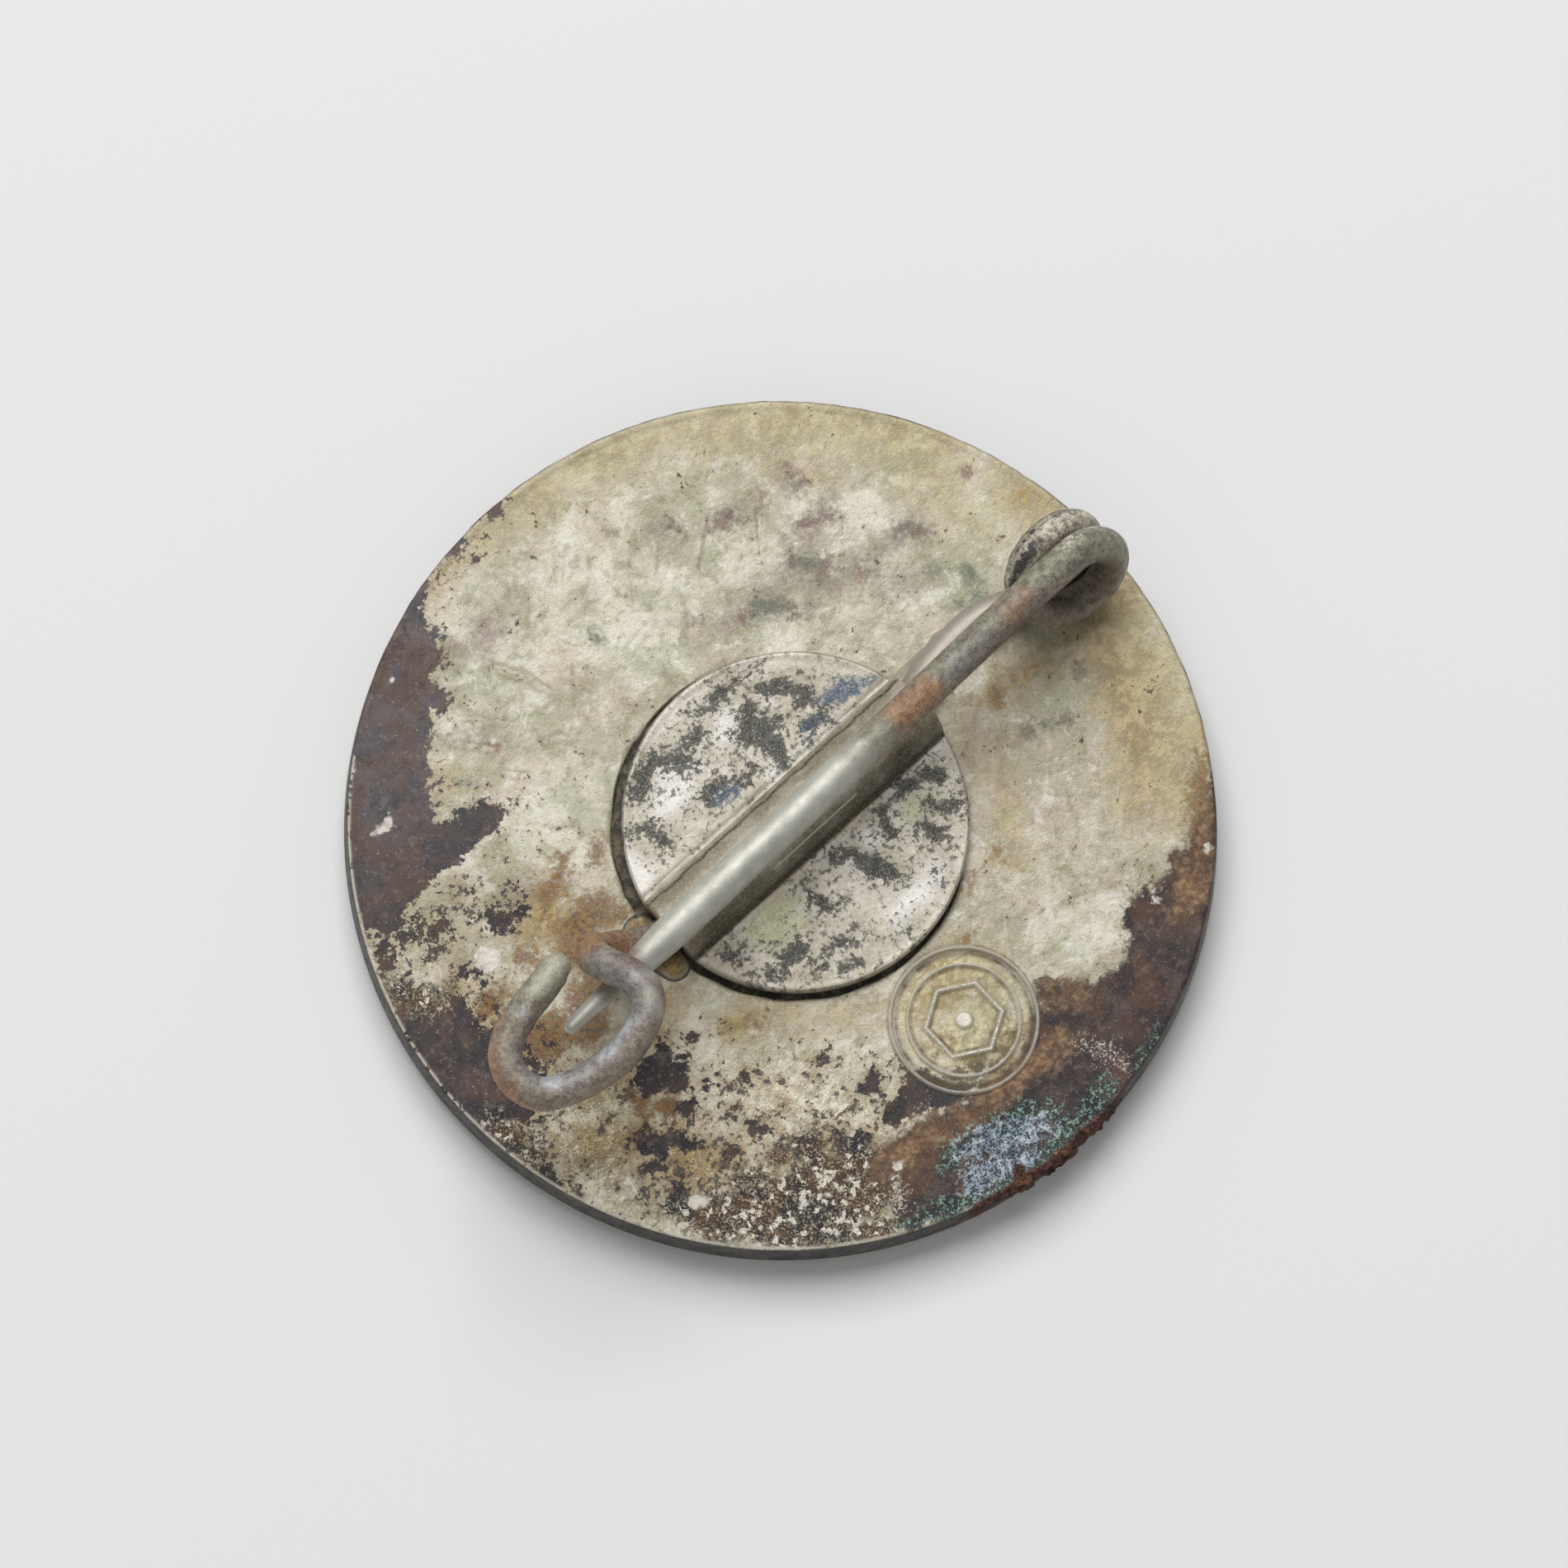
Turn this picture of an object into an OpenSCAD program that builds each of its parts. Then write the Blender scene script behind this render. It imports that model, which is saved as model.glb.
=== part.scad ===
// Round struck-metal badge with an enamelled front and a pin back, lying face down.
// The front's flat centre rests on z = 0 and the pin assembly stands up from the back.
// X runs along the pin, from the catch hook at -X to the spring coil at +X.

/* [Disc] */
// Largest radius of the disc, at the flared front edge
badge_r = 11.6; // [11.6:0.1:12.4]
// Thickness of the disc, from the front's flat centre to the back face
badge_t = 1.6; // [1.5:0.1:2.0]
// Outward flare of the rim, from the back face to the front edge
rim_flare = 0.1; // [0.05:0.05:0.2]
// Height that the domed front rises by, from its flat centre to the rim
dome_rise = 0.55; // [0.3:0.05:0.6]

/* [Enamel] */
// Radius of the enamel field in the middle of the front
centre_r = 5.2; // [4:0.1:5.4]
// Inner radius of the enamel band
band_in = 5.9; // [5.8:0.1:6.5]
// Outer radius of the enamel band
band_out = 10.7; // [9:0.1:10.8]
// Depth of the cells that hold the enamel
cell_d = 0.35; // [0.2:0.05:0.4]

/* [Stamp] */
// Outer radius of the struck double ring on the back
stamp_r = 2.0; // [1.8:0.1:2.2]
// Height of the struck lines above the back face
stamp_h = 0.06; // [0.04:0.02:0.12]

/* [Pin plate] */
// Radius of the round plate that holds the pin
plate_r = 4.6; // [4.3:0.1:5]
// Thickness of the plate's sheet
plate_t = 0.32; // [0.25:0.01:0.35]
// Thickness of the solder film under the plate
solder_t = 0.1; // [0.06:0.02:0.12]
// Width of the solder fillet that shows round the plate
fillet_w = 0.35; // [0.2:0.05:0.5]
// Outer radius of the pressed channel over the wire
channel_r = 1.02; // [1:0.01:1.1]

/* [Pin wire] */
// Radius of the wire
wire_r = 0.48; // [0.42:0.01:0.48]
// Mean radius of the spring coil
coil_r = 1.2; // [1.1:0.05:1.2]
// Advance of the coil for each turn
coil_pitch = 0.97; // [0.97:0.01:1.05]
// Length of the needle's taper
taper_l = 3.2; // [2.5:0.1:3.4]
// Radius of the needle's blunt tip
tip_r = 0.15; // [0.1:0.01:0.2]

/* [Hidden] */
$fn = 96;

edge_chamfer = 0.08;
dome_steps = 6;
cut_over = 0.2;

// Struck mark: two rings, a hexagon outline and a dot
stamp_pos = [-0.14, -7.17];
stamp_inner_r = 1.56;
stamp_line_w = 0.12;
stamp_sunk = 0.05;
hexagon_r = 0.95;
dot_r = 0.22;

plate_pos = [0.2, -0.3];
plate_z = badge_t + solder_t;
channel_y = -0.2;
channel_z = plate_z + 0.2;
channel_wall = 0.3;
channel_clear = channel_r - channel_wall;
mouth_r = wire_r + 0.1;
puddle_pos = [-4.9, -0.2];
puddle_r = 1.35;

// The wire lies just above the back face where it passes through the channel
leg_z = badge_t + wire_r + 0.01;
channel_end = [-4.2, -0.25, leg_z];
mouth_start = [3.4, -0.15, leg_z];
mouth_end = [6.4, 0.36, leg_z];

// The coil leans towards +Y, is turned a little about Z, and its loops are skewed along X
coil_lean = 28;
coil_yaw = -7;
coil_skew = 0.18;
coil_turns = 1.5;
coil_c = [9.7, -0.33, badge_t + 1.96];
coil_up = [0, sin(coil_lean), cos(coil_lean)];
coil_axis = [0, cos(coil_lean), -sin(coil_lean)];
coil_step = 9;
wire_gap = 0.03;

// The needle's straight shank and the way that its root leaves the coil
shank_start = [5, -0.46, badge_t + 3.16];
shank_end = [-5, -0.64, badge_t + 2.96];
root_bend = [8.3, -0.41, badge_t + 3.32];
root_overlap = 0.3;

// The catch hook climbs beside the needle, crosses over it and loops round past its tip
hook_points = [
    channel_end, channel_end - [0.1, 0, 0], channel_end - [0.22, 0, 0],
    [-4.75, -0.15, 2.22], [-5.3, 0.02, 2.62], [-5.95, 0.3, 3.35], [-6.4, 0.35, 4.3],
    [-6.62, 0.15, 5.15], [-6.58, -0.35, 5.72], [-6.33, -1.1, 6], [-6.45, -1.66, 6.05],
    [-6.85, -2.02, 6.05], [-7.6, -2.28, 6], [-8.45, -2.3, 6], [-9.38, -2.1, 6],
    [-10.15, -1.7, 6.05], [-10.42, -1.05, 6.1], [-10.25, -0.42, 6.1], [-9.8, -0.05, 6.1],
    [-9.1, 0.2, 6], [-8.27, 0.37, 5.9], [-7.5, 0.54, 5.85]];
hook_steps = 4;
hook_thin = 0.05;

tube_sides = 16;
leg_steps = 5;

// Height of the domed front above z = 0 at a radius
function front_z(r) = dome_rise * pow(max(0, r - band_in) / (badge_r - band_in), 2);

// Radii from one value to another in equal steps
function radii_between(a, b) = [for (i = [0 : dome_steps]) a + (b - a) * i / dome_steps];

function unit(v) = v / norm(v);

function turn_z(p, angle) =
    [p[0] * cos(angle) - p[1] * sin(angle), p[0] * sin(angle) + p[1] * cos(angle), p[2]];

// A point on the coil: 0 degrees is the top, where the needle leaves it
function coil_point(angle) =
    let (advance = coil_pitch * (angle / 360 - coil_turns / 2))
    coil_c + turn_z([sin(angle) * coil_r - coil_skew * advance, 0, 0]
                    + coil_up * cos(angle) * coil_r + coil_axis * advance, coil_yaw);

// One point of a smooth curve between b and c, with a and d as its neighbours
function curve_point(a, b, c, d, t) =
    (2 * b + (c - a) * t + (2 * a - 5 * b + 4 * c - d) * t * t
     + (3 * b - a - 3 * c + d) * t * t * t) / 2;

// A smooth curve through all the points of a route
function smooth(route, steps) =
    let (last = len(route) - 1,
         p = concat([2 * route[0] - route[1]], route, [2 * route[last] - route[last - 1]]))
    [for (i = [0 : last - 1], k = [0 : steps - 1])
        curve_point(p[i], p[i + 1], p[i + 2], p[i + 3], k / steps),
     route[last]];

// A round wire swept along a path, with its own radius at each point
module wire(path, radii, side_of) {
    last = len(path) - 1;
    points = [for (i = [0 : last])
        let (along = unit(path[min(i + 1, last)] - path[max(i - 1, 0)]),
             side = unit(cross(along, side_of)),
             over = cross(side, along))
        for (k = [0 : tube_sides - 1])
            path[i] + radii[i] * (side * cos(360 * k / tube_sides)
                                  + over * sin(360 * k / tube_sides))];
    start_cap = [for (k = [tube_sides - 1 : -1 : 0]) k];
    end_cap = [for (k = [0 : tube_sides - 1]) last * tube_sides + k];
    walls = [for (i = [0 : last - 1], k = [0 : tube_sides - 1])
        let (a = i * tube_sides + k, b = i * tube_sides + (k + 1) % tube_sides)
        each [[a, b + tube_sides, a + tube_sides], [a, b, b + tube_sides]]];
    polyhedron(points = points, faces = concat([start_cap, end_cap], walls), convexity = 6);
}

// Places its children with their +Z along the line from one point to another
module along_line(from, to) {
    d = to - from;
    translate(from)
        rotate([0, acos(d[2] / norm(d)), atan2(d[1], d[0])])
            children();
}

// The tunnel that the wire passes through, open downwards
module tunnel(length) {
    translate([0, channel_y, channel_z])
        rotate([0, 90, 0])
            cylinder(r = channel_clear, h = length, center = true);
    translate([-length / 2, channel_y - channel_clear, badge_t - cut_over])
        cube([length, 2 * channel_clear, channel_z - badge_t + cut_over]);
    along_line(mouth_start, mouth_end)
        cylinder(r = mouth_r, h = norm(mouth_end - mouth_start));
}

module struck_ring(r) {
    rotate_extrude()
        polygon([[r - stamp_line_w, -stamp_sunk], [r, -stamp_sunk],
                 [r - stamp_line_w / 3, stamp_h], [r - stamp_line_w * 2 / 3, stamp_h]]);
}

module struck_mark() {
    struck_ring(stamp_r);
    struck_ring(stamp_inner_r);
    translate([0, 0, -stamp_sunk])
        linear_extrude(stamp_sunk + stamp_h)
            difference() {
                circle(r = hexagon_r, $fn = 6);
                circle(r = hexagon_r - stamp_line_w, $fn = 6);
            }
    translate([0, 0, -stamp_sunk])
        cylinder(r = dot_r, h = stamp_sunk + stamp_h);
}

module badge_disc() {
    back_r = badge_r - rim_flare;
    color("darkkhaki") {
        rotate_extrude()
            polygon(concat(
                [[0, cell_d], [centre_r, cell_d], [centre_r, 0], [band_in, 0]],
                [for (r = radii_between(band_in, band_out)) [r, front_z(r) + cell_d]],
                [for (r = radii_between(band_out, badge_r)) [r, front_z(r)]],
                [[badge_r, dome_rise + rim_flare], [back_r, badge_t - edge_chamfer],
                 [back_r - edge_chamfer, badge_t], [0, badge_t]]));
        translate([stamp_pos[0], stamp_pos[1], badge_t])
            struck_mark();
    }
}

module enamel_centre() {
    color("ivory")
        cylinder(r = centre_r, h = cell_d);
}

module enamel_band() {
    radii = radii_between(band_in, band_out);
    color("midnightblue")
        rotate_extrude()
            polygon(concat(
                [for (r = radii) [r, front_z(r)]],
                [for (i = [dome_steps : -1 : 0]) [radii[i], front_z(radii[i]) + cell_d]]));
}

module pin_plate() {
    color("silver")
        difference() {
            union() {
                translate([plate_pos[0], plate_pos[1], plate_z])
                    cylinder(r = plate_r, h = plate_t);
                intersection() {
                    translate([0, channel_y, channel_z])
                        rotate([0, 90, 0])
                            cylinder(r = channel_r, h = 3 * plate_r, center = true);
                    translate([plate_pos[0], plate_pos[1], plate_z])
                        cylinder(r = plate_r, h = 2 * channel_r);
                }
            }
            tunnel(3 * plate_r);
        }
}

module plate_solder() {
    color("slategray")
        difference() {
            union() {
                translate([plate_pos[0], plate_pos[1], badge_t])
                    rotate_extrude()
                        polygon([[0, 0], [plate_r + fillet_w, 0], [plate_r, solder_t],
                                 [0, solder_t]]);
                translate([puddle_pos[0], puddle_pos[1], badge_t])
                    cylinder(r1 = puddle_r, r2 = puddle_r - fillet_w, h = solder_t);
            }
            tunnel(3 * plate_r);
        }
}

module base_leg() {
    coil_end = coil_point(360 * coil_turns);
    path = smooth([coil_end + [-wire_gap, 0, 0], [8.5, 0.02, leg_z + 0.01],
                   mouth_end + [1, 0.02, 0], mouth_end + [-0.6, -0.06, 0],
                   mouth_start + [1, 0.1, 0], mouth_start, [2, channel_end[1], leg_z],
                   channel_end + [wire_gap / 3, 0, 0]], leg_steps);
    color("tan")
        wire(path, [for (p = path) wire_r], [0, 0, 1]);
}

module catch_hook() {
    path = smooth(hook_points, hook_steps);
    last = len(path) - 1;
    radii = [for (i = [0 : last]) i == last ? wire_r / 2 : wire_r - hook_thin * i / last];
    color("rosybrown")
        wire(path, radii, [0, 0, 1]);
}

module spring_coil() {
    path = [for (angle = [1 : coil_step : 360 * coil_turns]) coil_point(angle)];
    color("darkgray")
        wire(path, [for (p = path) wire_r], turn_z(coil_axis, coil_yaw));
}

module needle() {
    shank_l = norm(shank_end - shank_start);
    inside = shank_start + root_overlap * unit(shank_end - shank_start);
    root = smooth([coil_point(0) + [-wire_gap, 0, 0], root_bend, shank_start, inside], leg_steps);
    tip_z = shank_l + taper_l - tip_r;
    color("gainsboro") {
        along_line(shank_start, shank_end)
            rotate_extrude()
                polygon(concat(
                    [[0, 0], [wire_r, 0], [wire_r, shank_l]],
                    [for (a = [0 : 15 : 90]) [tip_r * cos(a), tip_z + tip_r * sin(a)]]));
        wire(root, [for (p = root) wire_r - 0.01], [0, 0, 1]);
    }
}

badge_disc();
enamel_centre();
enamel_band();
pin_plate();
plate_solder();
base_leg();
catch_hook();
spring_coil();
needle();
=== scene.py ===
"""Round struck-metal badge lying face down, with its pin assembly on the back."""

import math

import bmesh
import bpy
import numpy as np
from mathutils import Matrix


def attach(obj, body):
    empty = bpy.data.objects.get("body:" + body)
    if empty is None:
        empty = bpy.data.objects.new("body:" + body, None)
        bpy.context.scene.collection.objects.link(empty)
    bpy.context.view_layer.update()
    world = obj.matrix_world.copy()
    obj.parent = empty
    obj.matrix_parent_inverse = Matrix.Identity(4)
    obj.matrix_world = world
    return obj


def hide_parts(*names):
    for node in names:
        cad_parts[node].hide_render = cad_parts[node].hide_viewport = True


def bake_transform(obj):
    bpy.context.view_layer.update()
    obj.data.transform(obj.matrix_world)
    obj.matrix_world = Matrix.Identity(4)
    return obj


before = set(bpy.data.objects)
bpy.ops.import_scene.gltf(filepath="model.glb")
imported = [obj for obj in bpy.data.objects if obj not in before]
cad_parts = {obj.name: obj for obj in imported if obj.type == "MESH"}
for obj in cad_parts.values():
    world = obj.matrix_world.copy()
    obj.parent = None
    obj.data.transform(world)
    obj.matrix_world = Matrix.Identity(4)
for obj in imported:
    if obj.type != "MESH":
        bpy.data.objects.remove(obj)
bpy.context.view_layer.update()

MM = .001

# ---- camera


def unit(v):
    v = np.asarray(v, float)
    return v / np.linalg.norm(v)


def frame_matrix(right, up, back, at):
    m = Matrix.Identity(4)
    for row in range(3):
        m[row][0], m[row][1], m[row][2] = right[row], up[row], back[row]
        m[row][3] = at[row] * MM
    return m


def toward(heading, elevation):
    """The direction to a heading and an elevation in degrees."""
    h, e = math.radians(heading), math.radians(elevation)
    return np.array([math.cos(h) * math.cos(e), math.sin(h) * math.cos(e), math.sin(e)])


VIEW_ROLL = math.radians(43)
VIEW_DISTANCE = 200  # mm from the badge's middle
view_back = toward(heading=220.3, elevation=77.4)
view_right = unit(np.cross([math.sin(VIEW_ROLL), math.cos(VIEW_ROLL), 0], view_back))
view_up = np.cross(view_back, view_right)
view_centre = np.array([0, 0, 1.6]) + view_right * .05 + view_up * .97

camera_data = bpy.data.cameras.new("view")
camera_data.lens = 173.65
camera_data.sensor_width = 36
camera_data.clip_start = .01
camera_data.clip_end = 20
camera = bpy.data.objects.new("view", camera_data)
bpy.context.scene.collection.objects.link(camera)
camera.matrix_world = frame_matrix(view_right, view_up, view_back, view_centre + view_back * VIEW_DISTANCE)
bpy.context.scene.camera = camera
bpy.context.scene.view_settings.view_transform = "Standard"

# ---- sizes in mm, as in the CAD

BADGE_R, BACK_Z, DOME_RISE = 11.6, 1.6, .55
CENTRE_R, BAND_IN, BAND_OUT, CELL_D = 5.2, 5.9, 10.7, .35
STAMP_AT, STAMP_R, STAMP_INNER_R, HEXAGON_R, DOT_R = (-.14, -7.17), 1.94, 1.5, .9, .22
PLATE_AT, PLATE_R, PLATE_Z, PLATE_TOP = (.2, -.3), 4.6, 1.7, 2.02
CHANNEL_Y, CHANNEL_Z, CHANNEL_R, CHANNEL_CLEAR = -.2, 1.9, 1.02, .72
WIRE_R = .48
LEG_Z = 2.09
CHANNEL_END = (-4.2, -.25, LEG_Z)
COIL_AT = np.array([9.7, -.33, 3.56])
COIL_R, COIL_PITCH, COIL_TURNS, COIL_LEAN, COIL_YAW, COIL_SKEW = 1.2, .97, 1.5, 28, -7, .18

# ---- numbers over a surface


def lattice(ix, iy, iz, seed):
    """A fixed value from 0 to 1 at each whole-number point."""
    with np.errstate(over="ignore"):
        n = (ix.astype(np.uint32) * np.uint32(374761393)
             + iy.astype(np.uint32) * np.uint32(668265263)
             + iz.astype(np.uint32) * np.uint32(2246822519)
             + np.uint32(seed * 40503 + 977))
        n = (n ^ (n >> np.uint32(13))) * np.uint32(1274126177)
        n = n ^ (n >> np.uint32(16))
    return n.astype(np.float64) / 4294967295


def noise(points, size, seed=0, octaves=1):
    """Smooth noise from 0 to 1, with features of about that size in mm."""
    total, weight = 0, 0
    for octave in range(octaves):
        p = points / (size / 2 ** octave) + 1000
        whole = np.floor(p).astype(np.int64)
        f = p - whole
        f = f * f * (3 - 2 * f)
        value = 0
        for dx in (0, 1):
            for dy in (0, 1):
                for dz in (0, 1):
                    w = ((f[:, 0] if dx else 1 - f[:, 0])
                         * (f[:, 1] if dy else 1 - f[:, 1])
                         * (f[:, 2] if dz else 1 - f[:, 2]))
                    value = value + w * lattice(
                        whole[:, 0] + dx, whole[:, 1] + dy, whole[:, 2] + dz, seed + octave)
        total = total + value / 2 ** octave
        weight += 1 / 2 ** octave
    return total / weight


def uneven(points, size, seed, octaves=1):
    """The same noise, from -0.5 to 0.5."""
    return noise(points, size, seed, octaves) - .5


def ramp(x, low, high):
    """0 below low, 1 above high, and smooth between."""
    t = np.clip((np.asarray(x, float) - low) / (high - low), 0, 1)
    return t * t * (3 - 2 * t)


def ridge(x, width):
    """1 where x is 0, falling to 0 on both sides over about that width."""
    return np.exp(-(x / width) ** 2)


OUTSIDE = -3  # the depth that a layer holds far outside its strokes


def brush(points, paths):
    """Depth in mm inside brush strokes, negative outside. Each point of a stroke ends in its radius."""
    best = np.full(len(points), float(OUTSIDE))
    for path in paths:
        path = np.array(path, float)
        if len(path) == 1:
            path = np.vstack([path, path])
        p = points[:, :path.shape[1] - 1]
        for a, b in zip(path[:-1], path[1:]):
            d = b[:-1] - a[:-1]
            t = np.clip((p - a[:-1]) @ d / max(d @ d, 1e-9), 0, 1)
            away = np.linalg.norm(p - a[:-1] - t[:, None] * d, axis=1)
            best = np.maximum(best, a[-1] + t * (b[-1] - a[-1]) - away)
    return best


# ---- meshes


def new_piece(name, points, faces, body, material, replaced=(), crease=40):
    """A closed smooth mesh from points in mm, its faces turned outward, riding on a CAD body."""
    mesh = bpy.data.meshes.new(name)
    mesh.from_pydata((np.asarray(points) * MM).tolist(), [], [tuple(f) for f in faces])
    shell = bmesh.new()
    shell.from_mesh(mesh)
    bmesh.ops.recalc_face_normals(shell, faces=shell.faces)
    shell.to_mesh(mesh)
    shell.free()
    mesh.update()
    mesh.polygons.foreach_set("use_smooth", [True] * len(mesh.polygons))
    mesh.set_sharp_from_angle(angle=math.radians(crease))
    mesh.materials.append(material)
    piece = bpy.data.objects.new(name, mesh)
    bpy.context.scene.collection.objects.link(piece)
    if body:
        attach(piece, body)
    if replaced:
        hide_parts(*replaced)
    return piece


def layer(piece, name, values):
    """Stores a number at each point of a piece for its material to read."""
    attribute = piece.data.attributes.new(name, "FLOAT", "POINT")
    attribute.data.foreach_set("value", np.asarray(values, np.float32))


def strip(rings, sides, closed=True):
    """Quads that join rings of points, ring by ring."""
    i, k = np.meshgrid(np.arange(rings - 1), np.arange(sides if closed else sides - 1), indexing="ij")
    a = i * sides + k
    b = i * sides + (k + 1) % sides
    return np.stack([a, b, b + sides, a + sides], -1).reshape(-1, 4).tolist()


def tube(rings, ends):
    """Rings of points joined one by one, and closed by a fan to a point at each end."""
    sides = len(rings[0])
    last = (len(rings) - 1) * sides
    faces = strip(len(rings), sides)
    faces += [[last + sides, (k + 1) % sides, k] for k in range(sides)]
    faces += [[last + sides + 1, last + k, last + (k + 1) % sides] for k in range(sides)]
    return np.vstack([*rings, ends]), faces


def revolved(profile, sides, at=(0, 0)):
    """A turned shape from (radius, height) pairs. Its first and last radius are 0."""
    angle = np.arange(sides) * 2 * math.pi / sides
    rings = [np.stack([at[0] + r * np.cos(angle), at[1] + r * np.sin(angle), np.full(sides, z)], -1)
             for r, z in profile[1:-1]]
    points, faces = tube(rings, [(*at, profile[0][1]), (*at, profile[-1][1])])
    return points, [face[::-1] for face in faces]


def catmull(route, steps=16):
    """A smooth curve through all the points of a route."""
    p = np.array(route, float)
    p = np.vstack([2 * p[0] - p[1], p, 2 * p[-1] - p[-2]])
    out = []
    for a, b, c, d in zip(p[:-3], p[1:-2], p[2:-1], p[3:]):
        for t in np.arange(steps) / steps:
            out.append((2 * b + (c - a) * t + (2 * a - 5 * b + 4 * c - d) * t * t
                        + (3 * b - a - 3 * c + d) * t ** 3) / 2)
    return np.vstack([out, p[-2]])


def resampled(path, step):
    """The same curve with points an even step apart, and each one's distance along it."""
    along = np.concatenate([[0], np.cumsum(np.linalg.norm(np.diff(path, axis=0), axis=1))])
    s = np.linspace(0, along[-1], max(2, int(round(along[-1] / step)) + 1))
    return np.stack([np.interp(s, along, path[:, i]) for i in range(3)], -1), s


def swept(path, radii, sides=32, side_of=(0, 0, 1), dents=.012, grain=.004, tip=.0):
    """A round wire along a path, dented by noise, with flat ends or a rounded far end of radius tip."""
    tangent = np.gradient(path, axis=0)
    tangent /= np.linalg.norm(tangent, axis=1)[:, None]
    if tip:
        turns = np.linspace(0, math.pi / 2, 12)[1:-1]
        path = np.vstack([path] + [path[-1] + tangent[-1] * tip * math.sin(a) for a in turns])
        radii = np.concatenate([radii, [tip * math.cos(a) for a in turns]])
        tangent = np.vstack([tangent] + [tangent[-1]] * len(turns))
    side = np.cross(tangent, side_of)
    side /= np.linalg.norm(side, axis=1)[:, None]
    over = np.cross(side, tangent)
    angle = np.arange(sides) * 2 * math.pi / sides
    flat = (side[:, None] * np.cos(angle)[:, None] + over[:, None] * np.sin(angle)[:, None]).reshape(-1, 3)
    centre = np.repeat(path, sides, axis=0)
    r = np.repeat(radii, sides)
    rough = centre + flat * r[:, None]
    r = r + uneven(rough, .9, 5, 2) * 2 * dents + uneven(rough, .16, 9, 2) * 2 * grain
    rings = (centre + flat * r[:, None]).reshape(-1, sides, 3)
    beyond = tip * (1 - math.sin(turns[-1])) if tip else 0
    return tube(rings, [path[0], path[-1] + tangent[-1] * beyond])


# ---- node materials


def colour(text):
    """Linear colour from a hex string."""
    value = [int(text[i:i + 2], 16) / 255 for i in (0, 2, 4)]
    return tuple(v / 12.92 if v <= .04045 else ((v + .055) / 1.055) ** 2.4 for v in value) + (1,)


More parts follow.
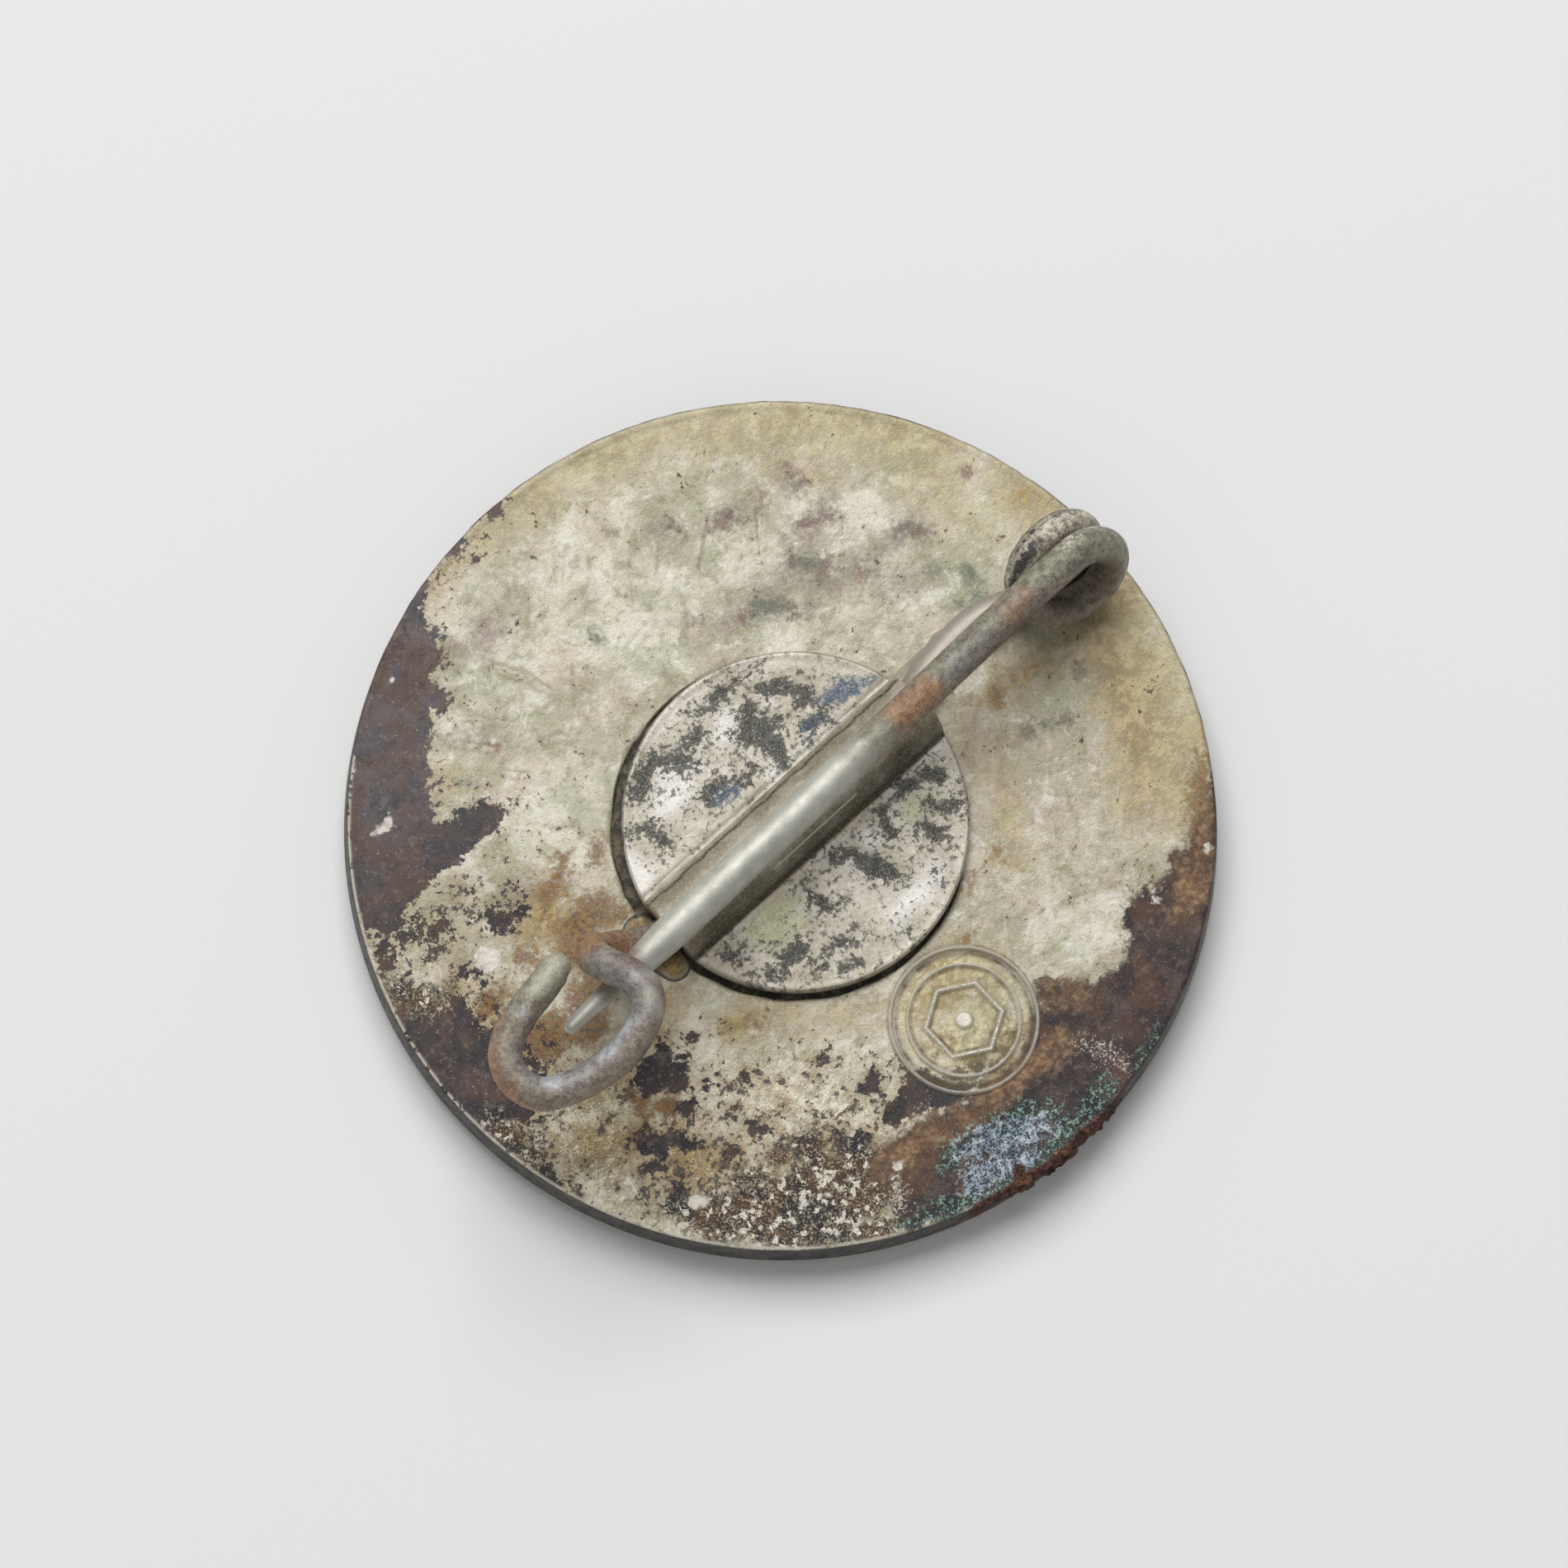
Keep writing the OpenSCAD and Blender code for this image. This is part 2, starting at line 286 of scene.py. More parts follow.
class Finish:
    """Builds one node material. Most methods return the socket that holds their result."""

    def __init__(self, name):
        self.material = bpy.data.materials.new(name)
        self.material.use_nodes = True
        self.tree = self.material.node_tree
        self.tree.nodes.clear()
        output = self.tree.nodes.new("ShaderNodeOutputMaterial")
        self.shader = self.tree.nodes.new("ShaderNodeBsdfPrincipled")
        self.put(output.inputs["Surface"], self.shader.outputs[0])
        self.place = self.add("VectorMath", (0, self.add("TexCoord", out="Object")), ("Scale", 1 / MM),
                              operation="SCALE")

    def put(self, socket, value):
        if isinstance(value, bpy.types.NodeSocket):
            self.tree.links.new(value, socket)
        else:
            socket.default_value = colour(value) if isinstance(value, str) else value

    def add(self, kind, *inputs, out=0, **settings):
        """Adds a node with (socket, value) inputs and returns one of its outputs."""
        node = self.tree.nodes.new("ShaderNode" + kind)
        for name, value in settings.items():
            setattr(node, name, value)
        for socket, value in inputs:
            self.put(node.inputs[socket], value)
        return node.outputs[out]

    def math(self, operation, *values):
        return self.add("Math", *enumerate(values), operation=operation)

    def plus(self, a, b):
        return self.math("ADD", a, b)

    def times(self, a, b):
        return self.math("MULTIPLY", a, b)

    def most(self, a, b):
        return self.math("MAXIMUM", a, b)

    def sum(self, *terms):
        """Adds (value, factor) pairs, with 0.5 as the middle of each value."""
        parts = [self.math("MULTIPLY_ADD", value, factor, -factor / 2) for value, factor in terms]
        total = parts[0]
        for part in parts[1:]:
            total = self.plus(total, part)
        return total

    def read(self, name):
        """The number that a layer of the mesh holds."""
        return self.add("Attribute", out="Fac", attribute_name=name)

    def noise(self, size, detail=3, roughness=.55, twist=0, shift=0):
        """Noise from 0 to 1, with features of about that size in mm."""
        place = self.place
        if shift:
            place = self.add("VectorMath", (0, place), (1, (shift, shift * .7, -shift)), operation="ADD")
        return self.add("TexNoise", ("Vector", place), ("Scale", 1 / size), ("Detail", detail),
                        ("Roughness", roughness), ("Distortion", twist))

    def cells(self, size, feature="F1"):
        return self.add("TexVoronoi", ("Vector", self.place), ("Scale", 1 / size), feature=feature)

    def step(self, value, low, high, out_low=0, out_high=1):
        """Goes smoothly from out_low to out_high while the value goes from low to high."""
        return self.add("MapRange", ("Value", value), ("From Min", low), ("From Max", high),
                        ("To Min", out_low), ("To Max", out_high), interpolation_type="SMOOTHSTEP")

    def mix(self, share, a, b):
        """Mixes two colours."""
        return self.add("Mix", (0, share), (6, a), (7, b), out=2, data_type="RGBA")

    def blend(self, share, a, b):
        """Mixes two numbers."""
        return self.add("Mix", (0, share), (2, a), (3, b))

    def frayed(self, name, coarse, fine):
        """A layer with its edge broken up by the finish's ragged and small noise."""
        return self.plus(self.read(name), self.sum((self.ragged, coarse), (self.small, fine)))

    def inside(self, name, coarse, fine, soft):
        """1 inside a layer's strokes, 0 outside, frayed and soft at the edge."""
        return self.step(self.frayed(name, coarse * 2, fine * 2), -soft, soft)

    def two(self, value, low, high, first, second):
        """The first colour below low, the second above high."""
        return self.mix(self.step(value, low, high), first, second)

    def dab(self, base, amount, share, *paint):
        """Paints a share of amount over a base, in one colour or in what `two` makes of five values."""
        return self.mix(self.times(amount, share), base, self.two(*paint) if paint[1:] else paint[0])

    def stains(self, base, *rows):
        """Dabs each (value, low, high, share, colour) where its value has passed from low to high."""
        for value, low, high, share, paint in rows:
            base = self.dab(base, self.step(value, low, high), share, paint)
        return base

    def bump(self, height, depth_mm, strength):
        normal = self.add("Bump", ("Height", height), ("Strength", strength), ("Distance", depth_mm * MM))
        self.put(self.shader.inputs["Normal"], normal)

    def finish(self, base, roughness, metallic, **uniform):
        uniform.update(Base_Color=base, Roughness=roughness, Metallic=metallic)
        for name, value in uniform.items():
            self.put(self.shader.inputs[name.replace("_", " ")], value)
        return self.material


def disc_finish():
    """Creamy nickel with ragged tarnish, pale specks, rust and verdigris, placed by the mesh's layers."""
    f = Finish("disc_nickel")
    cloud = f.noise(2.4, 5, .62, .5)
    patchy = f.noise(.95, 6, .66, .6, shift=13)
    tint = f.noise(1.5, 5, .6, .8, shift=71)
    ragged = f.ragged = f.noise(.5, 7, .66, .3)
    mottle = f.noise(.28, 5, .68, .4, shift=91)
    small = f.small = f.noise(.17, 4, .65, shift=31)
    grain = f.noise(.055, 3, .7, shift=57)
    grains = f.sum((grain, 1), (small, .7))

    # creamy plating, clouded in grey, green, pink and khaki
    base = f.stains(
        f.two(cloud, .38, .6, "d6d1bf", "b1ab93"),
        (tint, .53, .66, .55, "a6a98c"), (tint, .47, .35, .5, "c4b4a3"),
        (patchy, .53, .64, .6, "978c70"), (patchy, .46, .36, .6, "e2dfd2"),
        (mottle, .54, .64, .4, "857a5c"), (mottle, .45, .34, .35, "ece8dc"))
    base = f.dab(base, f.inside("khaki", 1.2, .2, .9), .78, ragged, .4, .6, "a19068", "c2b78f")
    base = f.dab(base, f.inside("tan", 1, .3, .8), .8, ragged, .42, .6, "8f7850", "b9a67c")
    base = f.dab(base, f.inside("grimy", 1, .5, .5), .7, patchy, .4, .6, "7f6c62", "8f8c78")
    base = f.dab(base, f.inside("blotch", .6, .4, .25), .8, tint, .42, .58, "7a5a55", "5f6659")
    # the granular, ochre lower left: cream and dark grains on brown
    pitted = f.step(f.plus(f.read("pitted"), f.sum((patchy, 1.2))), -1.3, .7)
    base = f.dab(base, f.times(pitted, f.step(mottle, .42, .6, .15)), .42,
                 tint, .44, .56, "8b7340", "85805f")
    base = f.dab(base, f.times(pitted, f.step(mottle, .48, .38)), .75, "e6dfc0")
    base = f.dab(base, f.inside("ochre", .9, .9, .6), .85, small, .4, .6, "7c6030", "b59c62")
    base = f.stains(base, (grains, .05, .16, f.blend(pitted, .15, .9), "f1ecd9"),
                    (grains, -.08, -.2, f.blend(pitted, .22, .6), "54442a"))
    # brown haloes and satellite spots that thin out away from the dark areas
    near = f.most(f.read("tarnish"), f.read("speckled"))
    halo = f.step(f.plus(near, f.sum((ragged, 1.4))), -.75, .05)
    halo = f.times(halo, f.blend(pitted, .25, .75))
    base = f.dab(base, halo, .5, mottle, .42, .58, "5f4424", "a58851")
    crowd = f.plus(f.step(near, -1.5, .1, 0, .12), f.times(pitted, .08))
    spots = f.plus(f.sum((small, 1), (ragged, .9), (grain, .35)), crowd)
    spots = f.plus(spots, f.step(patchy, .46, .68, -.02, .09))
    base = f.dab(base, f.step(spots, .22, .255), .92, grain, .4, .6, "2b272c", "5b4f4a")
    # orange-brown rust stains
    base = f.dab(base, f.inside("rust", .7, .7, .3), .85,
                 f.sum((small, 1), (grain, .6)), -.16, .16, "4a301d", "94703f")
    # dark tarnish, paler towards +Y, broken into cream islands at its lower end
    islands = f.step(f.sum((mottle, 1), (ragged, 1), (grain, .3)), -.05, .1)
    broken = f.times(f.step(f.read("broken"), -.6, .5), islands)
    tarnish = f.step(f.math("SUBTRACT", f.frayed("tarnish", 1.2, .8), f.times(broken, 2.5)), -.05, .05)
    y = f.add("SeparateXYZ", (0, f.place), out="Y")
    dark = f.mix(f.step(y, 3, 9, 0, .62), f.two(patchy, .4, .6, "1b181f", "3f3335"),
                 f.two(patchy, .4, .6, "646066", "7c6d69"))
    dark = f.stains(dark, (tint, .5, .62, .6, "5f4535"), (mottle, .54, .66, .4, "857a76"),
                    (mottle, .46, .36, .55, "241f23"), (grains, .13, .24, .7, "b5aa9b"))
    base = f.dab(base, tarnish, .97, dark)
    # a zone of dark tarnish thick with pale flakes
    speckled = f.inside("speckled", .8, .6, .25)
    flake = f.step(f.plus(f.cells(.24), f.sum((mottle, 2.2), (small, 1.6), (ragged, .7))), .3, .22)
    bed = f.stains(f.two(tint, .48, .6, "1f1a1d", "503722"), (grains, .03, .12, .85, "b5a98e"))
    base = f.mix(speckled, base, f.mix(flake, bed, f.two(grain, .35, .6, "b0a58e", "f2ede2")))
    # the dark lower edge
    low = f.inside("lower", .5, .3, .12)
    lower = f.stains(f.two(patchy, .4, .6, "2b2328", "4f3f38"), (tint, .48, .6, .7, "5b3c2c"),
                     (mottle, .54, .66, .5, "7b695d"), (mottle, .45, .34, .6, "2a2225"))
    lower = f.dab(lower, f.step(f.frayed("rust", 1.1, .5), -.35, .35), .85, ragged, .4, .6,
                  f.two(grain, .4, .6, "523a28", "74553a"), f.two(small, .4, .6, "84613f", "a98a66"))
    flecks = f.plus(grains, f.step(f.read("fleck"), -.9, .5, -.1, .3))
    lower = f.stains(lower, (grains, .1, .22, .55, "9b8a78"), (flecks, .26, .33, .85, "d6cdbc"))
    base = f.mix(low, base, lower)
    # verdigris and the crust on the rim
    teal = f.inside("teal", .5, .6, .25)
    base = f.dab(base, teal, .75, grains, 0, .12, f.two(tint, .4, .6, "252b2f", "2c4a40"), "9dc2b4")
    blue = f.inside("verdigris", .6, .7, .3)
    base = f.dab(base, blue, .95, f.sum((grain, 1.6), (small, .5), (mottle, .6)), -.14, .12,
                 "3a4048", f.two(mottle, .4, .6, "93a6b6", "ccd7df"))
    crusty = f.inside("crust", .2, .2, .06)
    crust = f.two(f.sum((small, 1), (grain, 1)), -.16, .2, "1f110e", "6e4636")
    base = f.mix(crusty, base, crust)
    # clean pale islands
    base = f.mix(f.inside("pale", .14, .2, .05), base, f.two(small, .4, .6, "c9c2b6", "e3ddd3"))
    # the struck mark: a dull field, dirt beside its lines, and the lines rubbed bright
    base = f.dab(base, f.read("field"), f.step(patchy, .4, .6, .25, .7),
                 mottle, .42, .6, "9c8a58", "ddd3ae")
    base = f.dab(base, f.read("recess"), f.step(ragged, .35, .6, .45, .9), "564a30")
    base = f.dab(base, f.read("crest"), f.step(small, .3, .5, .75), "f8f4e8")
    # the groove round the plate, painted near black as shade beside the plate's edge
    groove_shade = f.step(f.frayed("groove_shade", .35, .25), .35, .6)
    base = f.dab(base, groove_shade, .95, mottle, .42, .62, "1b1814", "6a6048")
    # the dark wall and the worn lip
    side = f.stains(f.two(ragged, .4, .62, "242220", "4d483f"), (grains, .12, .24, .5, "7f776a"))
    base = f.mix(f.step(f.read("wall"), .3, .6), base, f.mix(crusty, side, crust))
    base = f.dab(base, f.read("lip"), f.step(f.frayed("lip_wear", 1, .8), -.03, .06), "e2dccd")

    stained = f.most(f.most(tarnish, low), f.most(speckled, groove_shade))
    dusty = f.most(f.most(blue, teal), crusty)
    rough = f.blend(dusty, f.blend(stained, f.step(small, .3, .7, .42, .56), .6), .9)
    metal = f.blend(dusty, f.blend(stained, .3, .08), 0)
    height = f.plus(f.sum((small, .9), (grain, .6), (mottle, .8)), f.times(stained, -.35))
    f.bump(f.plus(height, f.times(dusty, .8)), .025, .8)
    return f.finish(base, rough, metal)


def plate_finish():
    """Creamy-white nickel sheet with bold charcoal mottling and faint blue and green stains, painted shade
    along the channel and a painted glint line on it.
    """
    f = Finish("plate_nickel")
    cloud = f.noise(1.4, 5, .62, .6)
    ragged = f.ragged = f.noise(.42, 8, .74, .6)
    small = f.small = f.noise(.15, 4, .68, shift=23)
    grain = f.noise(.06, 2, .5, shift=41)
    base = f.stains(f.two(cloud, .38, .62, "b3aa98", "cfc8bc"), (ragged, .5, .58, .6, "9d937e"))
    base = f.dab(base, f.inside("white", .6, .3, .3), .85, "e6e3df")
    base = f.dab(base, f.inside("green", .6, .4, .3), .75, small, .4, .6, "9da078", "c9ca9f")
    near = f.step(f.read("charcoal"), -.9, .1)
    veins = f.plus(f.sum((ragged, 1), (small, 1.1), (grain, .4)), f.times(near, .14))
    base = f.stains(f.dab(base, near, .35, "8a8474"), (veins, .14, .19, .85, "45443c"))
    charcoal = f.inside("charcoal", .65, .5, .09)
    base = f.dab(base, charcoal, .92, small, .4, .66, "23241f", "64645a")
    base = f.dab(base, f.inside("blue", .4, .4, .15), .9, small, .38, .62, "1d2a40", "4d5f78")
    base = f.dab(base, f.read("flank"), f.step(ragged, .3, .7, .6, .95),
                 cloud, .4, .6, "8b826b", "aaa28e")
    # painted shade: the needle's shadow on the channel's -Y flank and shade in the creases along both of the
    # channel's feet, with a dark crack line and faint darkening on the +Y flank
    channel_shade_and_grime = f.step(f.frayed("channel_shade_and_grime", .5, .3), .35, .8)
    base = f.dab(base, channel_shade_and_grime, .88, ragged, .4, .6, "2e2717", "62563a")
    # pale rubbed edges on the plate's rim and the channel's +Y foot, and a painted highlight: a glint line
    # along the channel's -Y flank
    worn = f.plus(f.read("rubbed_edge_and_glint"), f.sum((small, .6)))
    base = f.stains(base, (worn, .5, .9, .75, "e6e0d1"), (grain, .5, .7, .25, "f0ebe2"))
    stained = f.most(charcoal, channel_shade_and_grime)
    rough = f.blend(stained, f.step(small, .3, .7, .4, .52), .6)
    f.bump(f.plus(f.sum((small, .8), (grain, .35), (ragged, .8)), f.times(charcoal, -.4)), .02, .6)
    return f.finish(base, rough, f.blend(stained, .35, .1))


def wire_finish():
    """Nickel-plated wire, satin on the needle, with rust, grey-blue corrosion and black streaks elsewhere,
    and painted light: shade inside the coil and between wires, and highlights on the coil and along the top
    of the hook.
    """
    f = Finish("wire_nickel")
    ragged = f.ragged = f.noise(.5, 4, .6, .4)
    small = f.small = f.noise(.2, 4, .6, shift=19)
    grain = f.noise(.06, 3, .6, shift=47)
    fine = f.sum((small, .8), (grain, .6))
    mottled = f.inside("mottled", .4, .2, .3)
    base = f.dab(f.two(ragged, .35, .65, "c2c1b6", "d3d2c8"), mottled, .92,
                 fine, -.18, .18, "6a5b4e", "a09584")
    for name, share, dark, pale, coarse, close, soft, spread in (
            ("green", .8, "62645a", "a3a48c", .3, .12, .28, .2),
            ("steel", .7, "777779", "a6a6a6", .3, .12, .28, .2),
            ("orange", .85, "86583a", "b98f68", .3, .12, .28, .2),
            ("purple", .85, "574346", "84706a", .4, .2, .28, .2),
            ("tip", .9, "a3a38d", "c3c3ae", .2, .1, .25, .2),
            # cream: pale plating, with painted highlights on the top of the coil's back loop and on its lower
            # loop
            ("cream", .9, "8a8068", "e6e1d2", .3, .2, .2, .14),
            ("pink", .9, "aaa096", "beb5a9", .2, .1, .3, .2),
            # bright: painted highlight along the top of the hook
            ("bright", .7, "b6bbc1", "d3d7da", .3, .15, .22, .2),
            # hole: painted shade on the side of the coil's wire that faces the coil's hole
            ("hole", .55, "2f2920", "6b6049", .2, .1, .2, .2),
            # black: black streaks, and painted shade between the coil's loops and between the hook's riser
            # and the needle
            ("black", .95, "171517", "3b3637", .2, .3, .07, .2)):
        base = f.dab(base, f.inside(name, coarse, close, soft), share, fine, -spread, spread, dark, pale)
    rough = f.blend(mottled, f.step(small, .3, .7, .55, .63), f.step(grain, .3, .7, .42, .6))
    f.bump(f.times(f.sum((small, 1), (grain, .9)), f.blend(mottled, .12, 1)), .03, .7)
    return f.finish(base, rough, f.blend(mottled, .7, .25))


def solder_finish():
    """Dull solder: the bed under the plate painted dark as the shade beneath the plate's edge, the mound by
    the plate's left edge dark at its foot, and pale along the wire.
    """
    f = Finish("old_solder")
    ragged = f.ragged = f.noise(.5, 5, .6, .3)
    small = f.small = f.noise(.15, 4, .6, shift=7)
    # dark: painted shade on the bed under the plate's edge, and the dark foot of the mound by the plate
    dark = f.step(f.frayed("dark", .5, .4), -.1, .15)
    amber = f.step(f.frayed("amber", .3, .5), -.1, .1)
    base = f.two(ragged, .35, .65, "bdb4a4", "a89f8f")
    base = f.dab(base, dark, .93, small, .35, .65, "2c2721", "5e5546")
    base = f.dab(base, amber, .85, small, .4, .6, "5a4420", "a08436")
    f.bump(f.sum((small, 1), (ragged, 1)), .02, .7)
    return f.finish(base, f.step(small, .3, .7, .42, .65), f.blend(dark, .4, .1))


def enamel_finish(name, deep, pale, craze):
    """Glossy vitreous enamel with soft clouding, faint crazing and dust specks."""
    f = Finish(name)
    cloud = f.noise(1.8, 4, .6, .3)
    lines = f.step(f.cells(1.7, "DISTANCE_TO_EDGE"), 0, .02, 1, 0)
    base = f.dab(f.two(cloud, .3, .7, deep, pale), lines, .12, craze)
    base = f.stains(base, (f.noise(.12, 2, .5, shift=11), .68, .74, .5, craze))
    f.bump(f.plus(f.sum((cloud, 1)), f.times(lines, -.1)), .02, .4)
    return f.finish(base, f.step(f.noise(.4), .3, .7, .1, .24), 0, Coat_Weight=.5, Coat_Roughness=.08)


def floor_finish():
    f = Finish("paper_floor")
    return f.finish(f.mix(f.noise(60), "f4f4f4", "f6f6f6"), .9, 0, Specular_IOR_Level=.1)


DISC, PLATE, WIRE, SOLDER = disc_finish(), plate_finish(), wire_finish(), solder_finish()

# ---- disc

# Where each stain of the back lies: brush strokes through (x, y, radius) in mm
STAINS = {}
STAINS["tarnish"] = [
    [(-2.5, 11.35, .2), (-3.3, 10.95, .4), (-4.1, 10.3, .75), (-5.2, 9.7, 1.1), (-6.5, 8.6, 1.3),
     (-7.7, 7.3, 1.4), (-8.7, 6, 1.1), (-9.5, 5.1, .7), (-10.2, 4.2, .5), (-10.75, 3, .5),
     (-10.95, 1.9, .75), (-10.9, .9, 1), (-10.9, -.2, .8), (-11, -1.2, .6), (-10.9, -2.2, .35),
     (-10.9, -3.2, .1)], [(-3.6, 9.95, .4), (-3.9, 9.6, .3)], [(-4.9, 9.3, .7), (-4.5, 8.6, .33)],
    [(-6.6, 7.8, .95), (-6.2, 7.4, .4)],
    [(-8, 6.2, 1), (-7.1, 5.6, .7), (-6.4, 5.5, .5), (-5.75, 5.45, .48), (-5.4, 5.25, .25)],
    [(-9.1, 4.5, .5), (-8.6, 4.1, .5)], [(-9.3, 3.6, .25), (-8.9, 3.6, .2)],
    [(-7.4, 4.25, .2), (-7.2, 4.05, .12)],
    [(-7.7, 3.6, .3), (-7.2, 3.2, .5), (-6.7, 3, .35), (-6.4, 3.6, .15)], [(-8.9, 2.7, .3), (-8.7, 2.2, .3)],
    [(-10.3, 2.1, .8), (-9.6, 1.6, .75), (-9.7, .9, .9), (-9, .4, .6)], [(-9.3, -.2, .8), (-8.7, -.2, .4)],
    [(-10.3, -.9, .6), (-10.5, -1.6, .4)], [(-7.1, -2.75, .5), (-6.8, -3, .5), (-6.7, -3.4, .25)],
    [(-6.5, -2.5, .2)], [(-6.2, -5.55, .2), (-6, -5.8, .2)], [(-8.5, -3.9, .35), (-8.2, -4.2, .3)],
    [(-8.8, -4.5, .2)], [(-7.8, -4.7, .25), (-7.5, -4.8, .1)], [(-3.65, -5.4, .18)], [(-5.4, -4.4, .12)],
    [(-6.3, -4.9, .12)], [(-7, -5.6, .15)], [(-5.65, -2.7, .13)], [(-6.2, -3.8, .14)], [(-7.1, -4, .2)],
    [(-9.1, -5.6, .3), (-8.7, -5.5, .2)], [(-3.4, -6.7, .15), (-3, -6.7, .25), (-2.7, -6.9, .1)],
    [(-4.8, -7.4, .25), (-4.4, -7.6, .3)],
    [(-3.3, -7.7, .25), (-2.6, -7.8, .4), (-2.2, -7.4, .3), (-1.9, -8.2, .45), (-1.3, -8.4, .35)],
    [(-.8, -8.15, .25), (-.2, -8.5, .35), (.4, -8.4, .2)], [(-1.5, 11.35, .2), (-1.1, 11.35, .2)],
    [(.1, 11.35, .2)]]
STAINS["broken"] = [
    [(-10.4, 4.4, .6), (-9.9, 3.4, .8), (-9.2, 3.2, .7), (-8.8, 4.2, .5)], [(-9.4, .9, .3), (-8.8, 1.8, .5)],
    [(-10.4, -1.8, .5)], [(-7.4, 3.9, .4), (-6.6, 3.4, .3)], [(-8.8, -.4, .8), (-7.5, -.4, .6)]]
STAINS["speckled"] = [
    [(-9.2, -5.6, .25), (-8.9, -6.2, .45), (-8.2, -6.9, .75), (-7.2, -7.5, .95), (-6.2, -8.1, 1.1),
     (-5.2, -8.4, 1.1), (-4.5, -8.7, .7)], [(-7.6, -8.2, .3), (-6.4, -9.2, .35), (-5.4, -9.7, .3)],
    [(-6.2, -6.6, .3), (-5.4, -6.9, .4), (-5.6, -7.5, .5)], [(-7.4, -6.4, .3), (-6.9, -6.6, .3)],
    [(-10.6, 3.5, .35), (-10.2, 2.8, .45)], [(-11, -2.2, .2), (-11, -.8, .35)]]
STAINS["lower"] = [
    [(9.3, -6.8, .1), (8.6, -7.7, .45), (7.6, -8.4, .75), (6.6, -8.9, 1), (5.4, -9.3, 1.15), (4.2, -10, 1.1),
     (2.8, -10.2, 1.4), (1.2, -10.3, 1.65), (-.6, -10.3, 1.6), (-2.4, -10, 1.4), (-3.4, -9.7, 1.2),
     (-4.6, -9.9, .6)], [(5.2, -8.25, .55), (5.55, -8.05, .35)], [(2, -8.1, .35), (2.3, -8.9, .75)],
    [(7, -7.9, .3)], [(-.2, -9.3, .5), (1.3, -8.8, .55)],
    [(-4.4, -8.6, .4), (-3.2, -8.7, .5), (-2, -9.1, .5)]]
STAINS["rust"] = [
    [(-5.4, -8, .25), (-4.6, -8.2, .45), (-3.8, -8.6, .55), (-2.8, -8.8, .5), (-1.8, -9.2, .4),
     (-.6, -9.2, .35), (.5, -9.3, .35), (1.4, -9.3, .25)], [(2, -8.2, .3), (2.5, -8.6, .3)],
    [(.9, -8.5, .25)], [(6.2, -8.9, .4), (7.4, -8.3, .5), (8.3, -7.4, .4), (9.3, -6.2, .2)],
    [(-6.4, 1.2, .6), (-5.4, 1.6, .55), (-4.9, 1, .35)], [(-7.4, 1.9, .35)],
    [(-5.8, 2.7, .25), (-5, 3.1, .2)], [(-8.6, .1, .7), (-7.6, -.5, .6), (-6.6, .3, .45)],
    [(-7.9, -3.1, .25), (-7.4, -3.5, .3)], [(-9, 1.6, .35), (-8.4, 1.6, .25)],
    [(-4.25, 2.6, .2), (-4.05, 2.85, .15)], [(-7.2, -3.4, .25)], [(2.5, -4.6, .12)], [(-4.2, -3.5, .15)],
    [(3.6, -4.5, .1)], [(6.6, -1.35, .15)], [(1.5, -5.6, .15)]]
STAINS["ochre"] = [
    [(-8, -5.1, .9), (-7.4, -5.6, .5)], [(-9.5, -3, .6), (-8.6, -3.6, .6)], [(-6.3, 2.2, .9), (-5.6, 3, .2)],
    [(-8.8, -1.9, .4), (-6.2, -1.8, .5), (-5.5, -1.5, .45)], [(-4.7, -3.1, .35)], [(-5.2, -5.2, .2)],
    [(9.8, -6, .2)], [(10.8, 2, .25)], [(-9.3, 2.6, .2)], [(7.8, -1.6, .3), (6.4, -1.3, .2)],
    [(.6, -6.4, .4), (-.8, -6.2, .3)]]
STAINS["tan"] = [
    [(9.6, -1.6, .5), (9, -3.6, .8), (8, -5.2, .7), (7, -6.3, .5)], [(10.9, 1, .25), (10.6, -1.6, .5)],
    [(-3.9, -3.3, .1), (-3.3, -4.1, .22), (-2.6, -4.8, .25), (-1.6, -5.3, .2)],
    [(5.2, -1.6, .15), (4.8, -3.6, .25), (3.6, -5, .2)], [(6.6, 6.9, .25), (7.2, 6.2, .3)],
    [(-5.4, 10, .3), (-3.2, 10.9, .3), (-1.2, 11.2, .25)], [(1.2, 10.9, .2)],
    [(10.9, 2.2, .2), (11.2, 1.2, .1)], [(11.3, 3.4, .15), (10.9, 5.2, .1)],
    [(.6, -5.5, .2), (1.6, -6.4, .15)]]
STAINS["grimy"] = [
    [(2.6, 4.9, .3), (3.8, 4.7, .6), (5, 4.6, .6), (6, 5.2, .5), (6.8, 5.6, .3)],
    [(4.6, 3.9, .4), (6.6, 3.7, .4), (8, 3.4, .3)], [(6.4, 6.6, .3)], [(4.3, 7, .3), (5.4, 6.9, .15)],
    [(-6.6, 3.3, .4), (-5.4, 2.7, .4)], [(3, 7.9, .3)], [(-3.8, 9.6, .3), (-2.6, 9, .4), (-1.2, 9.4, .1)],
    [(-4.9, 7.4, .2), (-4, 7, .2)], [(6.4, 2.9, .3), (7.4, 2.2, .2)]]
STAINS["khaki"] = [
    [(10.6, 3, .6), (10.3, -2, 1), (9.3, -5, 1.2), (8.2, -6.6, .9)],
    [(-.4, 11, .2), (2.6, 10.8, .6), (6, 9.3, .8), (8.5, 7.2, .9), (10.2, 4.5, .9)],
    [(9.2, 2.4, .4), (9.4, 4.5, .8)], [(-5.6, 6.8, .3)]]
